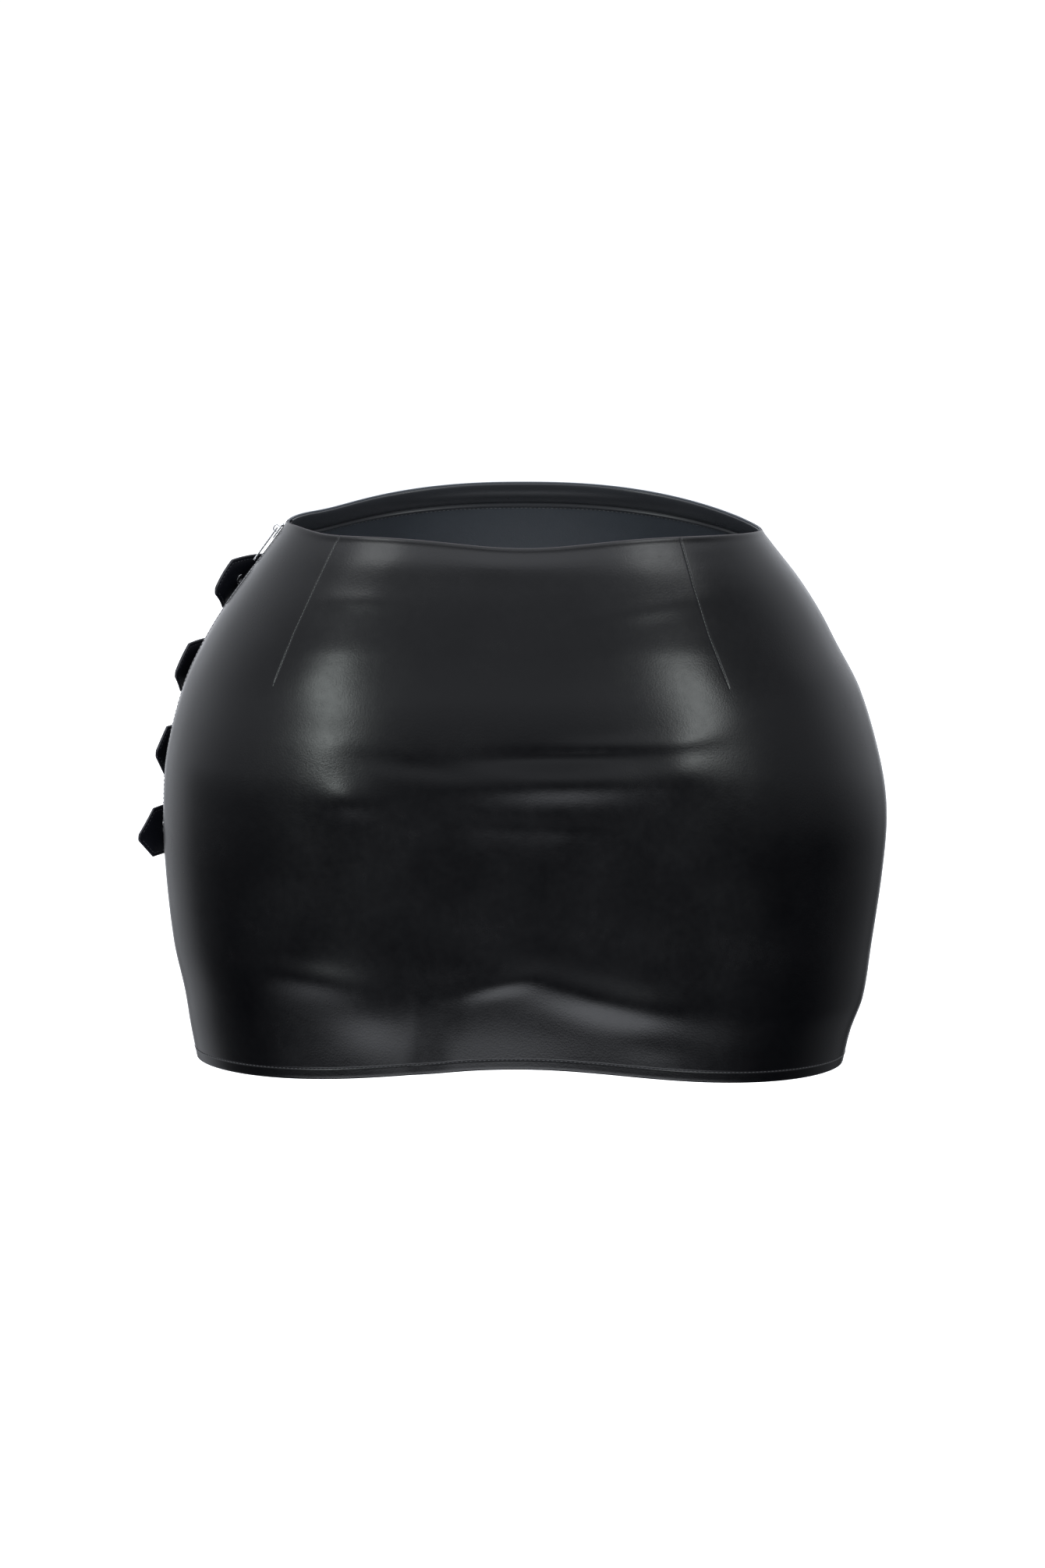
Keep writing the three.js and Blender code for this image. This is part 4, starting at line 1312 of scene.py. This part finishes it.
def eyelet(strap, number):
    middle = (EYELET_HOLE + EYELET_FLANGE) / 2
    parts = []
    for sign in (-1, 1):
        bpy.ops.mesh.primitive_torus_add(major_radius=middle, minor_radius=EYELET_FLANGE - middle,
                                         major_segments=40, minor_segments=12)
        bpy.ops.object.mode_set(mode="EDIT")
        bpy.ops.transform.resize(value=(1, 1, 0.52))
        bpy.ops.transform.translate(value=(0, 0, sign * (STRAP_THICK / 2 + 0.42)))
        bpy.ops.object.mode_set(mode="OBJECT")
        parts.append(bpy.context.object)
    bpy.ops.mesh.primitive_cylinder_add(vertices=40, radius=EYELET_BARREL, depth=STRAP_THICK + 0.9,
                                        end_fill_type="NOTHING")
    barrel = bpy.context.object
    wall = barrel.modifiers.new("wall", "SOLIDIFY")
    wall.thickness = EYELET_BARREL - EYELET_HOLE
    bpy.ops.object.modifier_apply(modifier=wall.name)
    obj = joined(f"eyelet_ring_{number}", [*parts, barrel])
    put_at_eyelet(obj, strap)
    finish_mesh(obj)
    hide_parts(f"eyelet_{number}")
    return dress(obj, METAL)


for number, strap in enumerate(STRAPS, 1):
    buckle_frame(strap, number)
    prong(strap, number)
    eyelet(strap, number)


# The zip


def seam_place():
    """The slider's frame: an origin and its forward, up and out directions."""
    origin = outside(0.0, SLIDER_DROP)
    up = unit(outside(0.0, 1.0) - outside(0.0, 2.0 * SLIDER_DROP))
    forward = np.array([0, -1.0, 0])
    return origin, forward, up, unit(np.cross(forward, up))


def put_at_seam(obj, shift=(0, 0, 0)):
    """Places an object modelled with X forward, Y up the seam and Z out of the leather."""
    origin, forward, up, out = seam_place()
    flat = points_of(obj) + np.array(shift, float)
    return put_points(obj, origin + flat[:, :1] * forward + flat[:, 1:2] * up + flat[:, 2:] * out)


def flat_plate(name, outlines, bottom, top, edge):
    """A plate cut to outlines, the first its rim and any others its holes, with rounded edges."""
    data = bpy.data.curves.new(name, "CURVE")
    data.dimensions = "2D"
    data.fill_mode = "BOTH"
    data.extrude = (top - bottom) / 2 - edge
    data.bevel_depth = edge
    data.bevel_resolution = 2
    data.offset = -edge
    for outline in outlines:
        line = data.splines.new("POLY")
        line.points.add(len(outline) - 1)
        line.use_cyclic_u = True
        for place, point in zip(outline, line.points):
            point.co = (place[0], place[1], 0, 1)
    obj = use(new_object(name, data))
    bpy.ops.object.convert(target="MESH")
    obj = bpy.context.object
    bpy.ops.object.mode_set(mode="EDIT")
    bpy.ops.mesh.select_all(action="SELECT")
    bpy.ops.transform.translate(value=(0, 0, (top + bottom) / 2))
    bpy.ops.object.mode_set(mode="OBJECT")
    return obj


def arc(middle, half, start, end, count):
    angles = np.radians(np.linspace(start, end, count))
    return [(middle[0] + half * math.cos(a), middle[1] + half * math.sin(a)) for a in angles]


PLATE_BOTTOM = CHAIN_TOP + SLIDER_GAP
PLATE_TOP = PLATE_BOTTOM + SLIDER_PLATE
UNDER_TOP = TAPE_BOTTOM - SLIDER_GAP


def slider_outline():
    half = SLIDER_LENGTH / 2
    narrow = SLIDER_HALF * 0.72
    right = [(narrow, -half), (narrow, -half * 0.3), (SLIDER_HALF, half * 0.45)]
    right += arc((SLIDER_HALF - 2.2, half - 2.2), 2.2, 10, 90, 6)
    left = [(-x, y) for x, y in reversed(right)]
    return [*right, *left]


def slider():
    over = flat_plate("slider_over", [slider_outline()], PLATE_BOTTOM, PLATE_TOP, 0.35)
    under = flat_plate("slider_under", [slider_outline()], UNDER_TOP - SLIDER_PLATE, UNDER_TOP, 0.3)
    bpy.ops.mesh.primitive_cube_add(size=1)
    post = bpy.context.object
    flat = points_of(post)
    post_low = UNDER_TOP - 0.5
    post_high = PLATE_BOTTOM + 0.5
    height = np.where(flat[:, 2] < 0, post_low, post_high)
    post.data.vertices.foreach_set("co", np.stack([flat[:, 0] * 2.2, 4.2 + flat[:, 1] * 1.6, height], -1).ravel())
    foot = BAIL_INNER + BAIL_BAR / 2
    crown = PLATE_TOP + BAIL_ROOM + BAIL_BAR / 2
    bail = bent_rod("slider_bail", [
        (TAB_AXIS_UP - foot, PLATE_TOP - 0.3), (TAB_AXIS_UP - foot, crown - 1.2),
        (TAB_AXIS_UP - foot + 0.35, crown - 0.35), (TAB_AXIS_UP - foot + 1.2, crown),
        (TAB_AXIS_UP + foot - 1.2, crown), (TAB_AXIS_UP + foot - 0.35, crown - 0.35),
        (TAB_AXIS_UP + foot, crown - 1.2), (TAB_AXIS_UP + foot, PLATE_TOP - 0.3),
    ], BAIL_BAR / 2)
    flat = points_of(bail)
    wide = BAIL_HALF / (BAIL_BAR / 2)
    bail.data.vertices.foreach_set("co", np.stack([flat[:, 1] * wide, flat[:, 0], flat[:, 2]], -1).ravel())
    obj = joined("slider", [over, under, post, bail])
    put_at_seam(obj)
    finish_mesh(obj)
    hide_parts("zip_slider")
    return dress(obj, METAL)


def pull_tab():
    bar = 0.7
    window = 1.35
    right = [(TAB_HALF * 0.8, bar), (TAB_HALF, -TAB_LENGTH * 0.35)]
    rim = [*right, *arc((0, -TAB_LENGTH + TAB_HALF), TAB_HALF, 0, -180, 25),
           (-TAB_HALF, -TAB_LENGTH * 0.35), (-TAB_HALF * 0.8, bar)]
    hole = [(-window, -bar), (-window, -bar - 4.2), (window, -bar - 4.2), (window, -bar)]
    obj = flat_plate("pull_tab_plate", [rim, hole], -TAB_THICK / 2, TAB_THICK / 2, 0.3)
    put_at_seam(obj, (0, TAB_AXIS_UP, PLATE_TOP + TAB_AXIS_HEIGHT))
    finish_mesh(obj)
    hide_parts("zip_pull_tab")
    return dress(obj, METAL, body="pull_tab")


TOOTH_PITCH = 1.5
TOOTH_THICK = 0.95
TOOTH_OUTER = 2.25
TOOTH_REACH = 0.75


def tooth_shape():
    """One tooth on the front's side: a block from its tape to just over the middle, rounded."""
    bpy.ops.mesh.primitive_cube_add(size=1)
    obj = bpy.context.object
    flat = points_of(obj)
    x = np.where(flat[:, 0] < 0, -TOOTH_REACH, TOOTH_OUTER)
    pinch = np.where(flat[:, 0] < 0, 0.72, 1.0)
    z = np.where(flat[:, 2] < 0, CHAIN_TOP - 2.1, CHAIN_TOP)
    obj.data.vertices.foreach_set("co", np.stack([x, flat[:, 1] * TOOTH_THICK * pinch, z], -1).ravel())
    rounding = obj.modifiers.new("edges", "BEVEL")
    rounding.width = 0.2
    rounding.segments = 1
    use(obj)
    bpy.ops.object.modifier_apply(modifier=rounding.name)
    return obj


def teeth():
    """Both rows of teeth as one mesh, each row's teeth between the other's."""
    tooth = tooth_shape()
    shape = points_of(tooth)
    faces = [list(face.vertices) for face in tooth.data.polygons]
    bpy.data.objects.remove(tooth)
    points = []
    polygons = []
    count = int((ZIP_END - 3.2 - CHAIN_START) / TOOTH_PITCH)
    for side in (-1, 1):
        for k in range(count):
            drop = CHAIN_START + 0.5 + (k + (0.5 if side > 0 else 0)) * TOOTH_PITCH
            middle = outside(0.0, drop)
            up = unit(outside(0.0, drop - 1) - outside(0.0, drop + 1))
            forward = np.array([0, -1.0, 0])
            out = unit(np.cross(forward, up))
            first = len(points) * len(shape)
            points.append(middle - side * shape[:, :1] * forward + shape[:, 1:2] * up + shape[:, 2:] * out)
            polygons += [[first + corner for corner in face] for face in faces]
    mesh = bpy.data.meshes.new("zip_teeth")
    mesh.from_pydata((np.concatenate(points) * MM).tolist(), [], polygons)
    obj = finish_mesh(new_object("zip_teeth", mesh), angle=30)
    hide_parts("zip_chain")
    return dress(obj, METAL)


def tape(name, node, inner, outer):
    """One tape, with a thick corded edge beside the teeth."""
    drops = np.linspace(TAPE_START, ZIP_END + TAPE_TAIL, 90)
    runs = np.linspace(inner, outer, 9)
    cord_edge = np.exp(-(((np.abs(runs) - TAPE_INNER) / 0.7) ** 2)) * 0.25
    shape = (90, 9)
    turns = turn_at_run(np.broadcast_to(runs, shape), np.broadcast_to(drops[:, None], shape))
    every_drop = np.broadcast_to(drops[:, None], shape)
    upper = skin(turns, every_drop, np.broadcast_to(TAPE_TOP + cord_edge, shape))
    lower = skin(turns, every_drop, np.broadcast_to(TAPE_BOTTOM - cord_edge * 0.5, shape))
    obj = wall_mesh(name, upper, lower)
    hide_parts(node)
    dress(obj, TAPE)
    return obj


def bottom_stop():
    bpy.ops.mesh.primitive_cube_add(size=1)
    obj = bpy.context.object
    obj.name = "zip_stop"
    rounding = obj.modifiers.new("edges", "BEVEL")
    flat = points_of(obj)
    half = 2.6
    obj.data.vertices.foreach_set("co", (flat * np.array([2 * half, 2.6, 2.5])).ravel())
    rounding.width = 0.4
    rounding.segments = 3
    use(obj)
    bpy.ops.object.modifier_apply(modifier=rounding.name)
    drop = ZIP_END - 1.3
    up = unit(outside(0.0, drop - 1) - outside(0.0, drop + 1))
    forward = np.array([0, -1.0, 0])
    out = unit(np.cross(forward, up))
    flat = points_of(obj)
    middle = outside(0.0, drop) + out * (CHAIN_TOP + 0.3 - 1.25)
    put_points(obj, middle + flat[:, :1] * forward + flat[:, 1:2] * up + flat[:, 2:] * out)
    finish_mesh(obj)
    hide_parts("zip_bottom_stop")
    return dress(obj, METAL)


slider()
pull_tab()
teeth()
bottom_stop()
tape("front_tape", "zip_tape_front", -TAPE_INNER, -TAPE_OUTER)
tape("back_tape", "zip_tape_back", TAPE_INNER, TAPE_OUTER)


# Stage, lights and camera

CAMERA_AWAY = 4.5
CAMERA_RISE = math.radians(6.5)
LOOK_AT = Vector((-0.001, 0, -0.1625))
SEEN_HEIGHT = 1.005


FLOOR_HEIGHT = -0.9
FLOOR_FRONT = 0.8
FLOOR_BACK = 12.0
FLOOR_FRONT_HALF = 0.55
FLOOR_BACK_HALF = 1.4


def white_floor():
    """A pale floor behind and below the skirt, as wide as the view."""
    bpy.ops.mesh.primitive_plane_add(size=2)
    floor = bpy.context.object
    floor.name = "floor"
    flat = points_of(floor)
    behind = flat[:, 1] > 0
    half = np.where(behind, FLOOR_BACK_HALF, FLOOR_FRONT_HALF)
    y = np.where(behind, FLOOR_BACK, FLOOR_FRONT)
    put_points(floor, np.stack([flat[:, 0] * half, y, np.full(4, FLOOR_HEIGHT)], -1) / MM)
    finish = Finish("white_floor", Base_Color=(0.9, 0.9, 0.9, 1), Roughness=0.9,
                    Emission_Color=(1, 1, 1, 1), Emission_Strength=0.9)
    floor.data.materials.append(finish.material)


def area_light(name, azimuth, elevation, away, width, height, power, colour, lean=0):
    """A soft box that faces the skirt. Azimuth 0 is at the camera and grows to the right.

    A positive lean moves its foot to the right.
    """
    turn = math.radians(azimuth)
    rise = math.radians(elevation)
    direction = Vector((math.sin(turn) * math.cos(rise), -math.cos(turn) * math.cos(rise), math.sin(rise)))
    data = bpy.data.lights.new(name, "AREA")
    data.shape = "RECTANGLE"
    data.size = width
    data.size_y = height
    data.energy = power
    data.color = colour
    light = new_object(name, data)
    light.location = LOOK_AT + direction * away
    facing = direction.to_track_quat("Z", "Y") @ Quaternion((0, 0, 1), math.radians(lean))
    light.rotation_euler = facing.to_euler()
    return light


class Sky:
    """The world behind everything, whose brightness depends on the direction alone."""

    def __init__(self):
        world = bpy.data.worlds.new("studio")
        bpy.context.scene.world = world
        world.use_nodes = True
        self.tree = world.node_tree
        self.background = self.tree.nodes["Background"]
        self.background.inputs["Color"].default_value = (0.955, 0.985, 1.05, 1)
        way = self.tree.nodes.new("ShaderNodeTexCoord").outputs[0]
        split = self.tree.nodes.new("ShaderNodeSeparateXYZ")
        self.tree.links.new(way, split.inputs[0])
        self.right, self.behind, self.up = (Value(self.tree, socket) for socket in split.outputs)

    def rise(self, value, low, high, to_low, to_high):
        node = self.tree.nodes.new("ShaderNodeMapRange")
        node.interpolation_type = "SMOOTHSTEP"
        self.tree.links.new(value.socket, node.inputs[0])
        for place, number in enumerate((low, high, to_low, to_high), 1):
            node.inputs[place].default_value = number
        return Value(self.tree, node.outputs[0])

    def shine(self, strength):
        self.tree.links.new(strength.socket, self.background.inputs["Strength"])


def studio():
    """White behind the skirt, dark low down at its front, grey walls, a bright ceiling and soft boxes."""
    sky = Sky()
    white_behind = sky.rise(sky.behind, 0.93, 0.985, 0.0, 1.12)
    elsewhere = sky.rise(sky.behind, 0.93, 0.985, 1.0, 0.0)
    in_front = sky.rise(sky.behind * -1, 0.3, 0.65, 0.0, 1.0) * sky.rise(sky.right, 0.4, 0.7, 1.0, 0.08)
    table = sky.rise(sky.up * -1, 0.36, 0.56, 0.0, 2.6) * in_front
    haze = sky.rise(sky.up, -0.24, -0.08, 0.01, 0.17)
    front_wall = sky.rise(sky.up, -0.1, 0.14, 0.0, 0.36) * sky.rise(sky.right, 0.35, 0.75, 1.0, 0.55)
    upper_wall = sky.rise(sky.up, 0.18, 0.4, 0.0, 0.12)
    ceiling = sky.rise(sky.up, 0.67, 0.79, 0.0, 0.9)
    side_walls = sky.rise(sky.behind, -0.3, 0.5, 0.0, 0.45) * sky.rise(sky.up, -0.15, 0.25, 0.3, 1.0)
    far_walls = sky.rise(sky.behind, 0.75, 0.93, 0.0, -0.12)
    left_screen = sky.rise(sky.behind, 0.15, 0.6, 0.0, 0.42) * sky.rise(sky.right * -1, 0.2, 0.5, 0.0, 1.0)
    left_screen = left_screen * sky.rise(sky.up, -0.08, 0.12, 1.0, 0.0)
    room = haze + front_wall - upper_wall + ceiling + side_walls + far_walls + left_screen
    sky.shine(white_behind + (room + table) * elsewhere)
    area_light("left_softbox", -41, 14, 2.6, 0.34, 1.25, 10, (0.93, 1.0, 0.98), lean=22)
    area_light("right_softbox", 34, 14, 2.6, 0.56, 1.05, 8.5, (0.95, 1.0, 0.99))
    area_light("left_top_box", -57, 50, 2.6, 0.8, 0.5, 3.5, (0.97, 1.0, 1.0))
    area_light("right_top_box", 45, 50, 2.6, 0.9, 0.5, 4, (0.97, 1.0, 1.0))


def camera():
    data = bpy.data.cameras.new("camera")
    data.sensor_width = 36
    data.lens = 36 * CAMERA_AWAY / SEEN_HEIGHT
    obj = new_object("camera", data)
    direction = Vector((0, -math.cos(CAMERA_RISE), math.sin(CAMERA_RISE)))
    obj.location = LOOK_AT + direction * CAMERA_AWAY
    obj.rotation_euler = direction.to_track_quat("Z", "Y").to_euler()
    bpy.context.scene.camera = obj


white_floor()
studio()
camera()
bpy.context.scene.view_settings.view_transform = "Standard"
